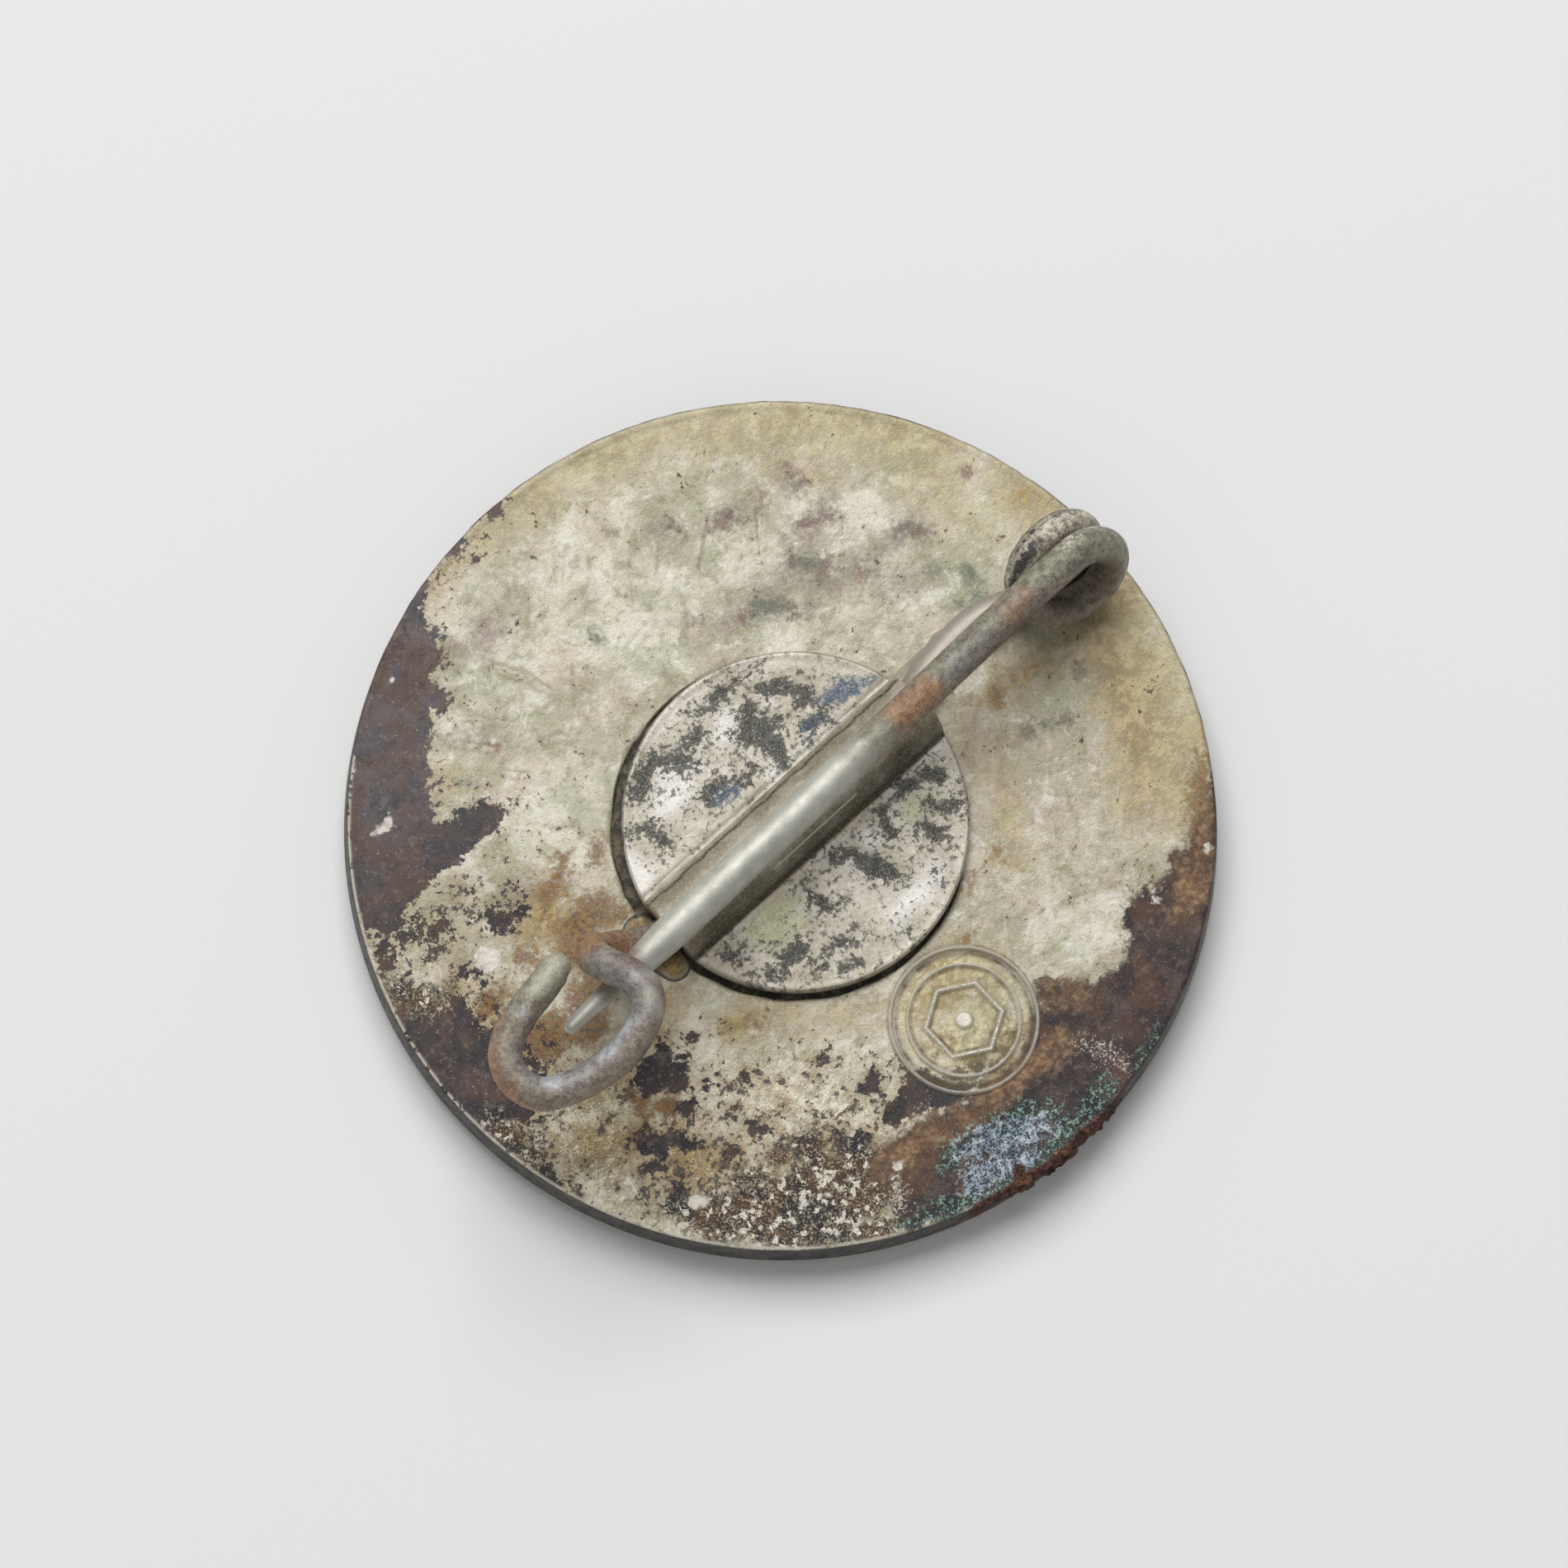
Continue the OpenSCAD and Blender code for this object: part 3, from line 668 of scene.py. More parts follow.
STAINS["blotch"] = [
    [(6, 5.5, .2), (6.6, 5.2, .2)], [(6.6, 6.4, .12), (6.7, 7, .06)], [(5.1, 4.9, .2), (5.5, 4.3, .3)],
    [(3, 4.8, .15), (3.9, 4.5, .25), (4.2, 4.1, .15)], [(7.8, 3.6, .15), (8.1, 3.2, .15)], [(10.1, 3.6, .12)],
    [(4.3, 6.9, .15), (4.6, 7, .15)], [(5.6, 6.85, .1)], [(3.4, 7.75, .12)], [(8.3, 1.6, .2), (8.1, .9, .15)],
    [(-.2, 7, .12)], [(1.9, 5.5, .12)], [(1.4, 5.4, .1)], [(6.5, -2.6, .15)],
    [(6.9, -2.9, .1), (7.5, -3.15, .1)], [(8.6, -2.4, .15)], [(7.5, 1.1, .12)], [(7.6, 2.4, .12)],
    [(-5.3, 6.3, .1)], [(-4.2, 6.6, .1)], [(-5.6, 6.5, .06)], [(6.2, 3.5, .2)]]
STAINS["teal"] = [
    [(-5, -10.15, .12), (-4, -10.4, .25), (-3.2, -10.8, .25), (-2, -11.15, .2), (-.6, -11.2, .22),
     (.6, -11.2, .25), (1.4, -11, .2)], [(2.4, -11.2, .06), (3.3, -10.95, .1)],
    [(-2.9, -9.6, .3), (-1.6, -9.9, .4), (-.4, -10.2, .3), (-.1, -10.9, .3)]]
STAINS["verdigris"] = [
    [(-2.5, -9.8, .3), (-1.9, -9.9, .35), (-1.6, -10.4, .45), (-.7, -10.6, .35), (-.35, -10.75, .15)],
    [(-2.9, -10.5, .35), (-2.2, -10.6, .45), (-1.4, -10.9, .25)]]
STAINS["pale"] = [
    [(-8.2, 7.05, .06), (-7.75, 7, .15), (-7.5, 7.15, .05)], [(-8.25, 2.55, .33)], [(-5, 9.8, .05)],
    [(-7.45, 8.75, .08)], [(-4.1, -8.8, .12)], [(5.8, -8.25, .1)], [(7.8, -8.15, .12)], [(5.6, -7.85, .06)],
    [(-8.6, -5.95, .2), (-8.4, -6.1, .1)], [(-9.5, -4.3, .05), (-9.6, -4.6, .05)], [(-6.6, -7.9, .1)]]
STAINS["fleck"] = [[(1.7, -9.6, .1), (2, -10.3, .3), (2.1, -10.9, .15)], [(-5.4, -9.5, .6), (-4.6, -9.4, .3)]]
STAINS["crust"] = [
    [(-4, -11, .1), (-3.2, -11.2, .2), (-2, -11.45, .24), (-1.2, -11.6, .2), (0, -11.65, .26),
     (1, -11.65, .2), (1.7, -11.55, .08)], [(-2, -11.3, .2), (-1.8, -11, .1)]]
STAINS["pitted"] = [[(-9.5, 1, .6), (-9.2, -3.2, 1.7), (-7.6, -5, 1.8), (-5.6, -6, 1.5), (-3.5, -7.2, .7)]]
# Shallow dents and scuffs, too worn to be anything else
SCUFFS = [
    [(-2.9, 8.6, .1), (-2.3, 7.5, .16), (-2.1, 6.7, .06)], [(-4.9, 7.4, .05), (-4.3, 6.7, .12)],
    [(-4.6, 6.1, .05), (-4.1, 5.5, .1)], [(-.3, 8.3, .05), (.9, 9.3, .12)], [(1.2, 7, .12), (1.8, 7.9, .05)],
    [(3.1, 6.5, .14), (4.4, 7.5, .05)], [(3, 8.5, .06), (3.3, 7.6, .14)], [(4.6, 5.8, .05), (5.3, 6.6, .15)],
    [(-3.5, 6, .06), (-2.7, 5.7, .12)], [(.2, 6.2, .12), (1.2, 6.4, .05)], [(5, 8.2, .12), (6, 7.9, .05)]]
# How far the dark groove reaches from the plate's edge, in mm, at some angles about the plate
GROOVE_ANGLES = [-180, -172, -150, -110, -72, -50, 60, 92, 112, 135, 160, 172, 180]
GROOVE_WIDTHS = [.13, .15, .14, .12, .08, 0, 0, .08, .2, .27, .3, .22, .13]


def groove(points):
    """1 in the groove that runs round part of the plate, 0 outside."""
    x, y = points[:, 0] - PLATE_AT[0], points[:, 1] - PLATE_AT[1]
    width = np.interp(np.degrees(np.arctan2(y, x)), GROOVE_ANGLES, GROOVE_WIDTHS)
    out = np.hypot(x, y) - PLATE_R
    return ramp(out, width + .05, width - .03) * ramp(width, .01, .07) * ramp(out, -.3, -.2)


def back_relief(points):
    """Height in mm that the back face stands above its plane."""
    r = np.hypot(points[:, 0], points[:, 1])
    flat = points * [1, 1, 0]
    h = uneven(flat, 3.0, 1, 2) * .03 + uneven(flat, .5, 2, 3) * .018
    tarnish = ramp(brush(points, STAINS["tarnish"] + STAINS["lower"]), -.15, .25)
    h -= tarnish * (.008 + .02 * noise(flat, .3, 3, 2))
    powder = ramp(brush(points, STAINS["verdigris"]) + noise(flat, .4, 4) * .4 - .2, -.1, .2)
    h += powder * (.01 + .05 * noise(flat, .18, 6, 2))
    speckled = ramp(brush(points, STAINS["speckled"]), -.2, .3)
    h += speckled * uneven(flat, .2, 8, 2) * .04
    scuff = brush(points, SCUFFS)
    h += .014 * ridge(scuff, .08) - .022 * ramp(scuff, 0, .08)
    h += .02 * ramp(r, 11.2, 11.36)
    h -= .09 * groove(points)
    return h


def rim_wear(points):
    """Height in mm of corrosion on the rim, most at the crusty stretch."""
    crust = ramp(brush(points * [1, 1, 0], STAINS["crust"]), -.12, .1)
    lumps = ramp(noise(points, .3, 12, 4), .35, .7)
    return crust * (.24 * lumps - .05) + uneven(points, .5, 14, 2) * .035


def front_z(r):
    """Height of the domed front, which is down, at a radius."""
    return DOME_RISE * (np.maximum(0, np.asarray(r, float) - BAND_IN) / (BADGE_R - BAND_IN)) ** 2


DISC_SIDES, MARK_SIDES = 900, 400
BACK_FROM, CRUST_FROM = 1.3, .9  # the heights above which stains, and the crust, are laid on
LIP_WORN = (128.2, -118.2)  # the lip is worn most from the first angle round to the second


def in_stamp(points):
    """Distance in mm from the struck mark's middle."""
    return np.hypot(points[:, 0] - STAMP_AT[0], points[:, 1] - STAMP_AT[1])


def paint_disc(piece, p, **own):
    """Stores the layers of the disc's finish. Those that a piece has no values for are 0."""
    back = p[:, 2] > BACK_FROM
    for name, paths in STAINS.items():
        reached = back | (p[:, 2] > CRUST_FROM) if name == "crust" else back
        layer(piece, name, np.where(reached, brush(p, paths), OUTSIDE))
    for name in ("wall", "lip", "crest", "recess", "field"):
        layer(piece, name, own.get(name, np.zeros(len(p))))
    # the groove beside the plate is painted dark as shade
    layer(piece, "groove_shade", groove(p) * back)
    angle = np.degrees(np.arctan2(p[:, 1], p[:, 0]))
    layer(piece, "lip_wear", np.where((angle > LIP_WORN[0]) | (angle < LIP_WORN[1]), .08, -.25))


def make_disc():
    back = [(0, BACK_Z), (2, BACK_Z), (3.2, BACK_Z)]
    back += [(r, BACK_Z) for r in np.arange(3.6, 11.0, .085)]
    back += [(r, BACK_Z) for r in (11.04, 11.1, 11.16, 11.22, 11.28, 11.33, 11.37)]
    edge = [(11.41, BACK_Z), (11.45, BACK_Z - .01), (11.48, BACK_Z - .03), (11.5, BACK_Z - .06),
            (11.505, BACK_Z - .12), (11.52, 1.35), (11.54, 1.15), (11.56, .95), (11.58, .78),
            (11.6, .66), (11.59, .6), (11.56, .56)]
    outer = [(r, front_z(r)) for r in np.linspace(11.5, BAND_OUT, 5)]
    cell = [(r, front_z(r) + CELL_D) for r in np.linspace(BAND_OUT - .01, BAND_IN + .01, 8)]
    inner = [(BAND_IN, .03), (BAND_IN - .04, 0), (CENTRE_R + .04, 0), (CENTRE_R, .03),
             (CENTRE_R - .01, CELL_D), (0, CELL_D)]
    points, faces = revolved(back + edge + outer + cell + inner, DISC_SIDES)
    r = np.hypot(points[:, 0], points[:, 1])
    top = (points[:, 2] > BACK_Z - .2) & (r > 3)
    points[top, 2] += back_relief(points[top]) * ramp(r[top], 3.2, 4.2)
    points[:, 2] -= top * .12 * ramp(in_stamp(points), STAMP_R + .1, STAMP_R - .06)
    rim = (r > 11.3) & (points[:, 2] > .3)
    swell = rim_wear(points[rim]) * ramp(r[rim], 11.3, 11.48)
    outward = points[rim, :2] / r[rim, None]
    points[rim, :2] += outward * swell[:, None] * ramp(points[rim, 2], .6, 1.0)[:, None]
    points[rim, 2] += swell * .4 * ramp(points[rim, 2], 1.3, 1.5)
    disc = new_piece("badge_body", points, faces, "badge", DISC, ["badge_disc"])
    r = np.hypot(points[:, 0], points[:, 1])
    wall = ramp(r, 11.47, 11.5) * (points[:, 2] > .4)
    lip = ridge(r - 11.44, .03) * (points[:, 2] > BACK_FROM)
    paint_disc(disc, points, wall=wall, lip=lip)


def make_mark():
    """The struck mark: two rings, a hexagon outline and a dot, softened by wear."""
    radii = np.concatenate([[.02], np.arange(.05, 2.12, .032)])
    profile = [(0, BACK_Z)] + [(r, BACK_Z) for r in radii] + [(2.12, BACK_Z - .2), (0, BACK_Z - .2)]
    points, faces = revolved(profile, MARK_SIDES, STAMP_AT)
    top = points[:, 2] > BACK_Z - .1
    p = points[top]
    x, y, r = p[:, 0] - STAMP_AT[0], p[:, 1] - STAMP_AT[1], in_stamp(p)
    turned = (np.arctan2(y, x) + math.pi / 2) % (math.pi / 3) - math.pi / 6
    across = r * np.cos(turned) - HEXAGON_R
    wear = np.clip(.15 + 1.5 * noise(p, .6, 21, 3), .3, 1.15)
    outer = ridge(r - STAMP_R, .036)
    inner = ridge(r - STAMP_INNER_R, .036) * .8
    sides = ridge(across, .04)
    dot = ramp(r, DOT_R + .05, DOT_R - .05)
    h = (.1 * outer + .08 * inner + .09 * sides + .06 * dot) * wear
    h -= .05 * ramp(r, STAMP_INNER_R, STAMP_INNER_R + .06) * ramp(r, STAMP_R, STAMP_R - .08)
    h += uneven(p, .45, 22, 3) * .06 * ramp(r, STAMP_INNER_R + .1, STAMP_INNER_R)
    h -= .04 * ramp(r, 2.02, 2.1)
    points[top, 2] += h + back_relief(p)
    mark = new_piece("struck_mark", points, faces, "badge", DISC)
    crest, recess, field = np.zeros((3, len(points)))
    crest[top] = np.clip(np.maximum.reduce([outer, inner, sides, dot * .45]) * wear * 1.3, 0, 1)
    beside = np.maximum.reduce([ridge(r - STAMP_R + .14, .07), ridge(r - STAMP_R - .08, .04) * .6,
                                ridge(r - STAMP_INNER_R + .1, .05) * .8,
                                ridge(across + .1, .04), ridge(across - .1, .04) * .5])
    recess[top] = beside * (1 - crest[top]) * wear
    field[top] = ramp(r, STAMP_R - .1, STAMP_R - .3)
    paint_disc(mark, points, crest=crest, recess=recess, field=field)


make_disc()
make_mark()

# ---- pin plate

PLATE_STAINS = {}
PLATE_STAINS["charcoal"] = [
    [(-2.3, 3.1, .25), (-1.6, 3.45, .2), (-.95, 3.15, .28), (-.7, 2.65, .15)],
    [(-.5, 3.1, .22), (.0, 3.2, .15)], [(.75, 2.2, .25), (1.35, 2.7, .22)],
    [(1.25, 2.2, .35), (1.15, 1.7, .38), (1.1, 1.25, .25)], [(1.7, 2.1, .15)],
    [(1.9, 3, .15), (2.3, 2.6, .2), (2.7, 2.1, .22), (2.6, 1.8, .2)], [(2.2, 1.35, .25), (2.6, 1.3, .2)],
    [(-3.3, 2.5, .1), (-2.8, 2.1, .18), (-2.75, 1.6, .15)], [(-.1, 1.35, .22), (.3, 1.5, .1)],
    [(-1.2, 1.7, .15), (-.5, 1.75, .1)], [(.2, 3.6, .1), (1.2, 3.55, .12), (2, 3.5, .08)],
    [(-2.5, -2.85, .28), (-2.1, -3, .2)], [(-3.1, -2.9, .18)], [(-.85, -1.9, .12), (-.75, -2.6, .16)],
    [(.2, -1.7, .18), (.7, -2, .25), (.9, -2.7, .28), (1.1, -3.1, .15)],
    [(1.8, -2.3, .12), (1.9, -1.7, .15), (2.8, -1.6, .15), (3.5, -1.7, .22), (3.9, -2.1, .15)],
    [(2.6, -2.7, .2), (2.7, -3.2, .2)], [(3.2, -2.6, .12), (3.7, -2.9, .18)],
    [(-1.4, -3.4, .14), (-.9, -3.7, .1)], [(-1.6, -4, .12), (-1.2, -4.3, .08)], [(-2, -3.7, .1)],
    [(.4, -4.5, .06)], [(2.1, -3.9, .06)], [(-3.6, -1.7, .08), (-3.3, -2.2, .06)]]
PLATE_STAINS["blue"] = [
    [(3.1, 1.55, .22), (3.7, 1.4, .3), (4.15, 1.1, .16)], [(2.1, 1.3, .14), (2.5, 1.35, .1)],
    [(-.8, 1.45, .2), (-.4, 1.35, .14)]]
PLATE_STAINS["green"] = [
    [(-2.6, -1.8, .35), (-1.8, -2, .6), (-2.5, -2.4, .35)], [(2.6, -2.2, .3), (3.4, -2.3, .2)]]
PLATE_STAINS["white"] = [
    [(-2.2, 2.3, .3), (-1.5, 2.6, .6)], [(.4, 2.7, .35), (.8, 2.95, .25)], [(1.9, 2.5, .2)],
    [(.5, 1, .12), (3, .95, .1)], [(.5, -4, .3), (2, -3.8, .3)], [(1.3, -2, .3)],
    [(2.6, -1.3, .12), (4.4, -1.35, .15)], [(-3.9, 1.3, .3), (-3.4, 3.1, .1)]]


def arch(y, radius):
    """The height at y of a half-round of that radius along the channel."""
    return CHANNEL_Z + math.sqrt(max(0, radius ** 2 - (y - CHANNEL_Y) ** 2))


def chord(y):
    """Half the plate's width at y."""
    return math.sqrt(max(.0, PLATE_R ** 2 - (y - PLATE_AT[1]) ** 2))


def make_plate():
    """A sheet with a pressed half-round channel: top and bottom surfaces in rows, joined at the rim."""
    high = PLATE_AT[1] + PLATE_R
    foot = CHANNEL_R + .12
    evenly = [PLATE_AT[1] - PLATE_R * math.cos(a) for a in np.linspace(.012, math.pi, 220)]
    # each row: y on top, y underneath, and whether it is in the channel
    rows = [(y, y, False) for y in evenly if y < CHANNEL_Y - foot - .02]
    rows += [(CHANNEL_Y - foot + d, CHANNEL_Y - foot + d * .9, False) for d in (0, .03, .06, .09)]
    rows += [(CHANNEL_Y + CHANNEL_R * math.sin(math.radians(a)),
              CHANNEL_Y + CHANNEL_CLEAR * math.sin(math.radians(a * 90 / 84)), True)
             for a in np.linspace(-84, 84, 37)]
    rows += [(CHANNEL_Y + foot - d, CHANNEL_Y + foot - d * .9, False) for d in (.09, .06, .03, 0)]
    rows += [(y, y, False) for y in evenly if CHANNEL_Y + foot + .02 < y < high - .0003]
    n_rows, columns = len(rows), 130
    count = n_rows * columns
    across = -np.cos(np.linspace(0, math.pi, columns))
    across = .35 * across + .65 * np.linspace(-1, 1, columns)
    top, bottom = [], []
    for y_top, y_low, channel in rows:
        z_top = max(PLATE_TOP, arch(y_top, CHANNEL_R)) if channel else PLATE_TOP
        z_low = arch(y_low, CHANNEL_CLEAR) if channel else PLATE_Z
        top += [(PLATE_AT[0] + x * chord(y_top), y_top, z_top) for x in across]
        bottom += [(PLATE_AT[0] + x * chord(y_low), y_low, z_low) for x in across]
    flat = np.array(top)
    edge = PLATE_R - np.hypot(flat[:, 0] - PLATE_AT[0], flat[:, 1] - PLATE_AT[1])
    relief = uneven(flat, 2.4, 31, 2) * .04 + uneven(flat, .4, 32, 3) * .016
    relief -= .012 * ramp(brush(flat, PLATE_STAINS["charcoal"]), -.1, .15)
    relief += .012 * ridge(edge - .1, .09) - .05 * ramp(edge, .05, .0)
    beside = np.abs(flat[:, 1] - CHANNEL_Y) - CHANNEL_R
    relief -= .03 * ridge(beside - .06, .06) * (.4 + noise(flat, .8, 33))
    relief += np.where(beside < 0, uneven(flat * [1, .3, 0], 1.5, 34, 2) * .05, 0)
    flat[:, 2] += relief
    points = np.vstack([flat, bottom])
    faces = [face[::-1] for face in strip(n_rows, columns, closed=False)]
    faces += [[i + count for i in face[::-1]] for face in faces]
    grid = np.arange(count).reshape(n_rows, columns)
    border = [*grid[0], *grid[1:, -1], *grid[-1, -2::-1], *grid[-2:0:-1, 0]]
    faces += [[b, a, a + count, b + count] for a, b in zip(border, border[1:] + border[:1])]
    plate = new_piece("plate_sheet", points, faces, "badge", PLATE, ["pin_plate"], 50)
    for name, paths in PLATE_STAINS.items():
        layer(plate, name, brush(points, paths))
    off = flat[:, 1] - CHANNEL_Y
    crack = noise(flat * [1, 0, 0], .7, 35, 3) * .16
    cloudy = .35 + .5 * noise(flat * [1, .4, 0], 1.1, 36, 2)
    # painted shade: the needle's shadow on the channel's -Y flank and shade in the creases along both of the
    # channel's feet, with a dark crack line and faint darkening on the +Y flank
    channel_shade_and_grime = (.95 * ridge(off - CHANNEL_R + .16 + crack, .035) + .6 * ridge(off - CHANNEL_R - .04, .03)
             + .9 * ridge(off + CHANNEL_R + .03, .06) + cloudy * ramp(-off, .2, .7) * ramp(-off, 1.1, 1)
             + .3 * ramp(off, .1, .4) * ramp(off, .95, .8))
    flank = ramp(off, -1, -.9) * ramp(off, .95, .85)
    # a painted highlight: a glint line along the channel's -Y flank
    glint_line = ridge(off + .74, .03) * ramp(flat[:, 0], -1.4, -1.1) * ramp(flat[:, 0], 2, 1.7)
    worn = np.maximum.reduce([.6 * ridge(edge - .07, .05), ridge(off - CHANNEL_R + .02, .04), glint_line])
    for name, values, below in (("channel_shade_and_grime", channel_shade_and_grime, 1), ("flank", flank, 0), ("rubbed_edge_and_glint", worn, 0)):
        layer(plate, name, np.concatenate([values, np.full(count, below)]))


make_plate()

# ---- solder


def make_solder():
    """The solder film between the plate and the disc, set back from the plate's edge."""
    profile = [(0, 1.7), (3.9, 1.7), (4.2, 1.69), (4.4, 1.68), (4.46, 1.66), (4.5, 1.62), (4.5, 1.45),
               (0, 1.45)]
    points, faces = revolved(profile, 480, PLATE_AT)
    x, y = points[:, 0] - PLATE_AT[0], points[:, 1] - PLATE_AT[1]
    swell = 1 + uneven(points, .9, 41, 2) * .03
    points[:, 0] = PLATE_AT[0] + x * swell
    points[:, 1] = PLATE_AT[1] + y * swell
    bed = new_piece("solder_bed", points, faces, "badge", SOLDER, ["plate_solder"], 60)
    # the whole bed is painted dark, as the shade beneath the plate's edge
    layer(bed, "dark", np.full(len(points), .5))
    layer(bed, "amber", np.full(len(points), OUTSIDE))


def make_mound(name, path, height, spread, amber):
    """A low run of solder along a path, as a closed mound whose foot is just under the back face."""
    path = np.array(path, float)
    rings, sides = 34, 72
    centre = path[:, :2].mean(0)
    angle = np.arange(sides) * 2 * math.pi / sides
    reach = np.array([brush_reach(path, centre, a) for a in angle])
    points = [[centre[0], centre[1], 0]]
    for ring in range(1, rings + 1):
        d = reach * ring / rings
        points += np.stack([centre[0] + d * np.cos(angle), centre[1] + d * np.sin(angle),
                            np.zeros(sides)], -1).tolist()
    points = np.array(points)
    depth = brush(points, [path.tolist()])
    wide = depth + uneven(points, .5, 51, 2) * spread * .25
    points[:, 2] = BACK_Z - .03 + height * ramp(wide, 0, spread) ** .8
    points[:, 2] += uneven(points, .2, 52, 2) * .03 * ramp(wide, 0, spread)
    count = len(points)
    under = points.copy()
    under[:, 2] = BACK_Z - .12
    faces = [[0, 1 + k, 1 + (k + 1) % sides] for k in range(sides)]
    faces += [[i + 1 for i in face] for face in strip(rings, sides)]
    lower = [[i + count for i in face[::-1]] for face in faces]
    last = 1 + (rings - 1) * sides
    wall = [[last + k, last + k + count, last + (k + 1) % sides + count, last + (k + 1) % sides]
            for k in range(sides)]
    mound = new_piece(name, np.vstack([points, under]), faces + lower + wall, "badge", SOLDER,
                      crease=60)
    rim = np.tile(wide, 2)
    layer(mound, "dark", .35 - rim * 2 if amber else np.full(2 * count, -1.0))
    layer(mound, "amber", rim * 1.5 - .3 if amber else np.full(2 * count, OUTSIDE))


def brush_reach(path, centre, angle):
    """Distance from a centre, in one direction, to the outline of a brush stroke."""
    d = np.linspace(.02, 6, 1200)
    p = np.stack([centre[0] + d * math.cos(angle), centre[1] + d * math.sin(angle)], -1)
    inside = brush(p, [path.tolist()]) > 0
    return d[inside][-1] if inside.any() else .1


make_solder()
make_mound("leg_solder", [(4.2, .1, .8), (5.2, .22, .74), (6.4, .34, .68), (7.3, .38, .55)], .3, .45, False)
make_mound("wire_solder", [(-4.75, -.95, .5), (-4.8, -.3, .6), (-4.8, .35, .55)], .13, .3, True)

# ---- bent wire

lean, yaw = math.radians(COIL_LEAN), math.radians(COIL_YAW)
TURN = np.array([[math.cos(yaw), -math.sin(yaw), 0], [math.sin(yaw), math.cos(yaw), 0], [0, 0, 1]])
COIL_UP = np.array([0, math.sin(lean), math.cos(lean)])
COIL_AXIS = np.array([0, math.cos(lean), -math.sin(lean)])


def coil_point(degrees):
    """A point of the coil's centreline: 0 is the top, where the needle leaves it."""
    a = math.radians(degrees)
    advance = COIL_PITCH * (degrees / 360 - COIL_TURNS / 2)
    local = (np.array([math.sin(a) * COIL_R - COIL_SKEW * advance, 0, 0])
             + COIL_UP * math.cos(a) * COIL_R + COIL_AXIS * advance)
    return COIL_AT + TURN @ local


def streak(first, last, tilt, width):
    """A stroke along the coil's wire, turned from the outward side towards the coil's +Y end."""
    t = math.radians(tilt)
    points = []
    for degrees in range(first, last + 1, 10):
        a = math.radians(degrees)
        outward = np.array([math.sin(a), 0, 0]) + COIL_UP * math.cos(a)
        turned = outward * math.cos(t) + COIL_AXIS * math.sin(t)
        points.append((*(coil_point(degrees) + TURN @ turned * WIRE_R), width))
    return points


COIL_REACH = 1.3  # mm along the coil's axis, to either side of its middle


def coil_hole_shade_depth(points):
    """Depth in mm on the side of the coil's wire that faces its hole, where the wire is painted dark as the
    shade inside the coil.
    """
    p = (points - COIL_AT) @ TURN
    along = p @ COIL_AXIS
    out = np.hypot(p[:, 0] + COIL_SKEW * along, p @ COIL_UP)
    return np.where(np.abs(along) < COIL_REACH, COIL_R - .12 - out, OUTSIDE)


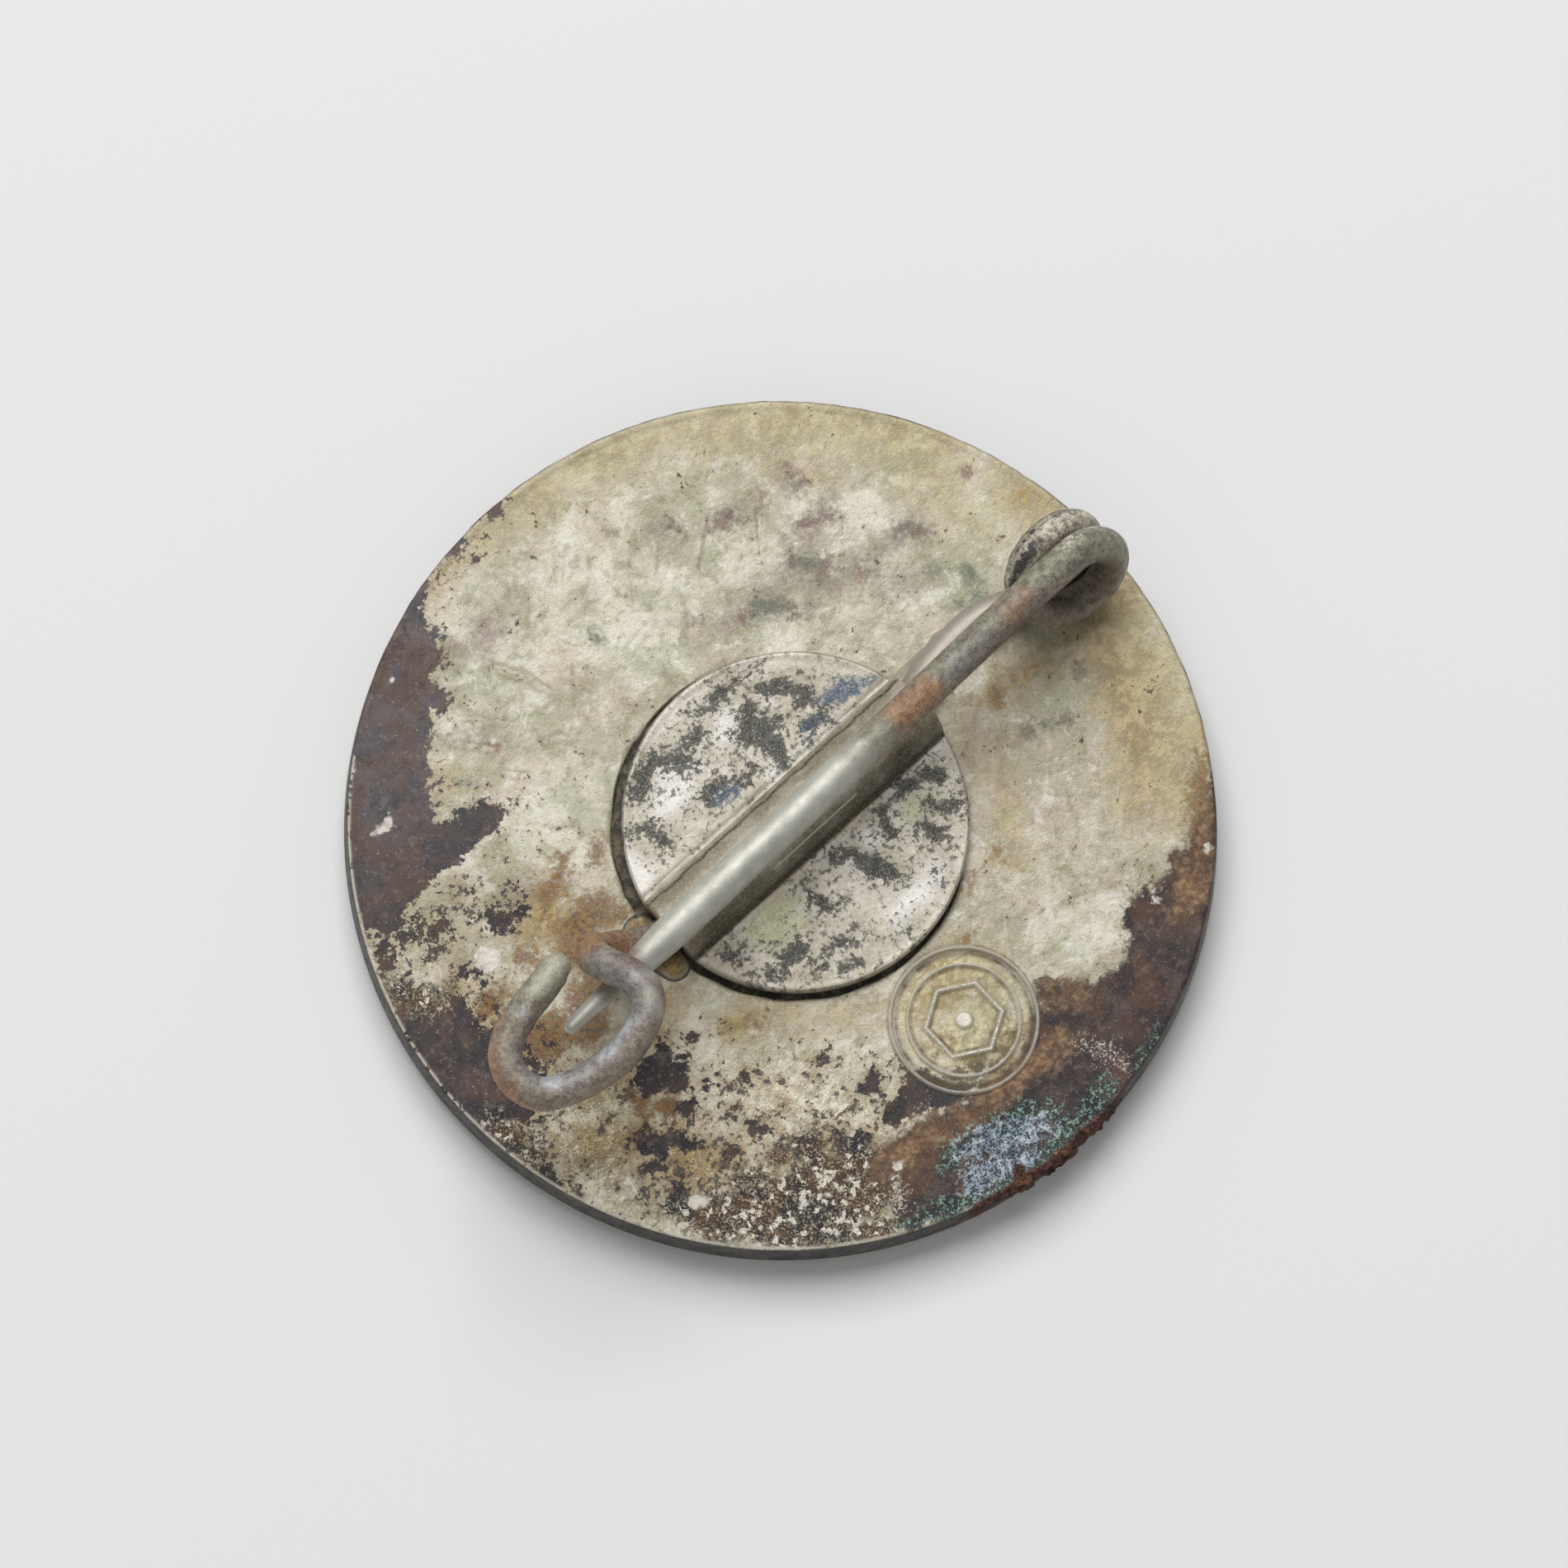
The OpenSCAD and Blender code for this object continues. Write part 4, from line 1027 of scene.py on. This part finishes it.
WIRE_LAYERS = {
    # places along the wire in mm, each with the radius that the colour reaches
    "mottled": [
        [(2, -.5, 4.7, .4), (5, -.5, 4.8, 1.2), (8.5, -.4, 4.9, 1.6), (10.3, -.4, 3.6, 2.6)],
        [(-4.5, -.2, 2.2, 1), (-6.4, .35, 4.3, 1), (-6.6, -.6, 6, .9), (-7.5, -2.2, 6, 1),
         (-10.2, -1.6, 6, 1.2), (-9.4, .1, 6, 1), (-7.5, .6, 5.9, 1)]],
    "green": [
        [(-9.2, .3, 6.1, .3), (-8.3, .45, 6.1, .5), (-7.4, .6, 6, .5)],
        [(2.6, -.5, 5.2, .25), (3.2, -.5, 5.1, .25)],
        [(8.6, -.2, 5.2, .4), (9.6, -.3, 5.3, .5), (10.6, -.5, 4.8, .5), (11.1, -.9, 3.8, .5)],
        [(5, -.2, 5.2, .2), (7, -.2, 5.3, .25)]],
    "orange": [
        [(3.6, -.5, 5, .35), (4.5, -.55, 5, .42)], [(3, -.8, 4.6, .2)],
        [(7.6, -.6, 5.2, .15), (8.2, -.4, 5.3, .12)],
        [(-5.6, .2, 3, .4), (-6.4, .35, 4.4, .6), (-6.62, .4, 5.4, .45)],
        [(-10.6, -1.7, 5.9, .4), (-10.9, -.8, 6.1, .45), (-10.5, 0, 6.1, .35), (-9.7, .45, 6, .3)],
        [(-8, -2.75, 5.8, .25), (-9.4, -2.5, 5.8, .3)], [(-6.3, -2.1, 5.9, .25)]],
    "steel": [
        [(5.4, -.6, 5.1, .25), (6.6, -.5, 5.1, .2)], [(-6.65, -.3, 6, .3), (-6.5, -1.2, 6.3, .3)],
        [(-6.9, -1.8, 6.3, .3), (-8.4, -2, 6.3, .3), (-9.4, -1.9, 6.3, .3), (-10, -1.3, 6.3, .3),
         (-9.9, -.5, 6.3, .2)]],
    "purple": [
        [(5.8, -.8, 4.7, .3), (7, -.8, 4.8, .4), (8.4, -.7, 4.8, .35)], [(6.4, -.2, 5.2, .15)],
        [(-6.2, -1.7, 6.1, .35), (-6.2, -.7, 6, .35)], [(-6.8, -2.4, 5.9, .25), (-7.8, -2.7, 5.9, .25)],
        [(-10.4, -2.1, 5.9, .2)], [(2.6, -.8, 4.5, .2)]],
    "tip": [[(-8.4, .4, 6.3, .25), (-7.3, .6, 6.1, .45)]],
    "cream": [
        # painted highlight along the top of the back loop
        [(8.3, .3, 4.2, .5), (9, .75, 4.9, .5), (10.2, .75, 4.9, .5), (11, .5, 4.2, .5)],
        [(9.6, 1.1, 4.4, .3), (10.6, 1, 4.2, .3)], [(9.9, -.1, 5.3, .18), (10.8, -.3, 4.7, .15)],
        # painted highlight on the coil's lower loop
        [(8.6, -.9, 2.6, .35), (9.4, -1.1, 2.2, .4)]],
    "pink": [[(8, .2, 2.1, .8), (4, 0, 2.1, .8)]],
    # painted highlights along the top of the hook
    "bright": [
        [(-7.3, -1.85, 6.4, .12), (-8.4, -2, 6.45, .1)], [(-9.7, -1.6, 6.4, .3)], [(-6.45, -1.1, 6.4, .06)],
        [(-9.1, .1, 6.45, .1)]],
    # black streaks on the coil; the streak turned towards the front loop is painted shade between the loops,
    # and the stroke on the hook's riser is painted shade beside the needle
    "black": [
        streak(286, 400, 50, .13), streak(292, 352, -30, .12), streak(330, 420, 15, .03),
         streak(-60, 30, 65, .05), [(-6, .1, 4.6, .12), (-6.25, -.05, 5.2, .14)]]}


def make_wire(name, path, radii, body, replaced, side_of=(0, 0, 1), **shape):
    points, faces = swept(path, radii, side_of=side_of, **shape)
    piece = new_piece(name, points, faces, body, WIRE, replaced, 60)
    for layer_name, paths in WIRE_LAYERS.items():
        layer(piece, layer_name, brush(points, paths))
    # the hole layer is painted shade inside the coil
    layer(piece, "hole", coil_hole_shade_depth(points))
    return piece


WIRE_STEP = .07
leg_path, s = resampled(catmull([
    coil_point(524), coil_point(532), coil_point(540), (8.5, .02, LEG_Z + .01), (7.4, .38, LEG_Z),
    (5.8, .3, LEG_Z), (4.4, -.05, LEG_Z), (3.4, -.15, LEG_Z), (2, -.25, LEG_Z), CHANNEL_END]), WIRE_STEP)
make_wire("leg_wire", leg_path, np.full(len(s), WIRE_R), "badge", ["base_leg"])

hook_path, s = resampled(catmull([
    CHANNEL_END, (-4.3, -.25, LEG_Z), (-4.42, -.25, LEG_Z), (-4.75, -.15, 2.22), (-5.3, .02, 2.62),
    (-5.95, .3, 3.35), (-6.4, .35, 4.3), (-6.62, .15, 5.15), (-6.58, -.35, 5.72), (-6.33, -1.1, 6),
    (-6.45, -1.66, 6.05), (-6.85, -2.02, 6.05), (-7.6, -2.28, 6), (-8.45, -2.3, 6), (-9.38, -2.1, 6),
    (-10.15, -1.7, 6.05), (-10.42, -1.05, 6.1), (-10.25, -.42, 6.1), (-9.8, -.05, 6.1), (-9.1, .2, 6),
    (-8.27, .37, 5.9), (-7.6, .52, 5.86)]), WIRE_STEP)
hook_radii = WIRE_R - .05 * s / s[-1]
hook_radii -= .06 * ramp(s, s[-1] - .2, s[-1])
make_wire("hook_wire", hook_path, hook_radii, "badge", ["catch_hook"], tip=hook_radii[-1])


def coil_stretch(first, last):
    return resampled(np.array([coil_point(a) for a in np.arange(first, last + .1, 2)]), .06)[0]


coil_side = TURN @ COIL_AXIS
for name, first, last in (("coil_top", 0, 184), ("coil_middle", 176, 364), ("coil_bottom", 356, 540)):
    stretch = coil_stretch(first, last)
    body = "coil" if name == "coil_middle" else None
    piece = make_wire(name, stretch, np.full(len(stretch), WIRE_R), body, ["spring_coil"],
                      side_of=tuple(coil_side))
    if name == "coil_top":
        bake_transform(piece)
    if name == "coil_bottom":
        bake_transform(piece)

shank_start, shank_end = np.array([5, -.46, 4.76]), np.array([-5, -.64, 4.56])
along = unit(shank_end - shank_start)
TAPER, TIP_R = 3.4, .19
past_start = shank_start + .3 * along
root = catmull([coil_point(6), coil_point(3), coil_point(0), (8.3, -.41, 4.92), shank_start, past_start])
needle_path, s = resampled(np.vstack([root[:-1], past_start, shank_end, shank_end + along * (TAPER - TIP_R)]),
                           WIRE_STEP)
needle_radii = WIRE_R + (TIP_R - WIRE_R) * ramp(s, s[-1] - (TAPER - TIP_R) * 1.25, s[-1] + .3)
make_wire("needle_wire", needle_path, needle_radii, "needle", ["needle"], dents=.008, grain=.003,
          tip=needle_radii[-1])

# ---- enamel

IVORY = enamel_finish("ivory_enamel", "cbbf9d", "e2dac2", "7c6c4e")
NAVY = enamel_finish("navy_enamel", "0c1a3a", "142a57", "5c6a86")
for node, material in (("enamel_centre", IVORY), ("enamel_band", NAVY)):
    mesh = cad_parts[node].data
    mesh.materials.clear()
    mesh.materials.append(material)

# ---- stage

FLOOR_Z = -.02 * MM  # just clear of the badge, so that the two are never one surface
floor_points = [(-3, -3, FLOOR_Z), (3, -3, FLOOR_Z), (3, 3, FLOOR_Z), (-3, 3, FLOOR_Z)]
floor_mesh = bpy.data.meshes.new("floor")
floor_mesh.from_pydata(floor_points, [], [(0, 1, 2, 3)])
floor_mesh.materials.append(floor_finish())
floor = bpy.data.objects.new("floor", floor_mesh)
bpy.context.scene.collection.objects.link(floor)


def area_light(name, heading, elevation, distance, size, power):
    """A square soft light that points at the badge."""
    back = toward(heading, elevation)
    right = unit(np.cross([.1, .2, 1], back))
    data = bpy.data.lights.new(name, "AREA")
    data.size = size
    data.energy = power
    light = bpy.data.objects.new(name, data)
    bpy.context.scene.collection.objects.link(light)
    light.matrix_world = frame_matrix(right, np.cross(back, right), back, back * distance / MM)


area_light("key", heading=62, elevation=60, distance=.5, size=.34, power=1.9)
area_light("fill", heading=200, elevation=60, distance=.6, size=.8, power=.35)

world = bpy.data.worlds.new("studio")
world.use_nodes = True
world.node_tree.nodes["Background"].inputs["Color"].default_value = (1, 1, 1, 1)
world.node_tree.nodes["Background"].inputs["Strength"].default_value = .23
bpy.context.scene.world = world
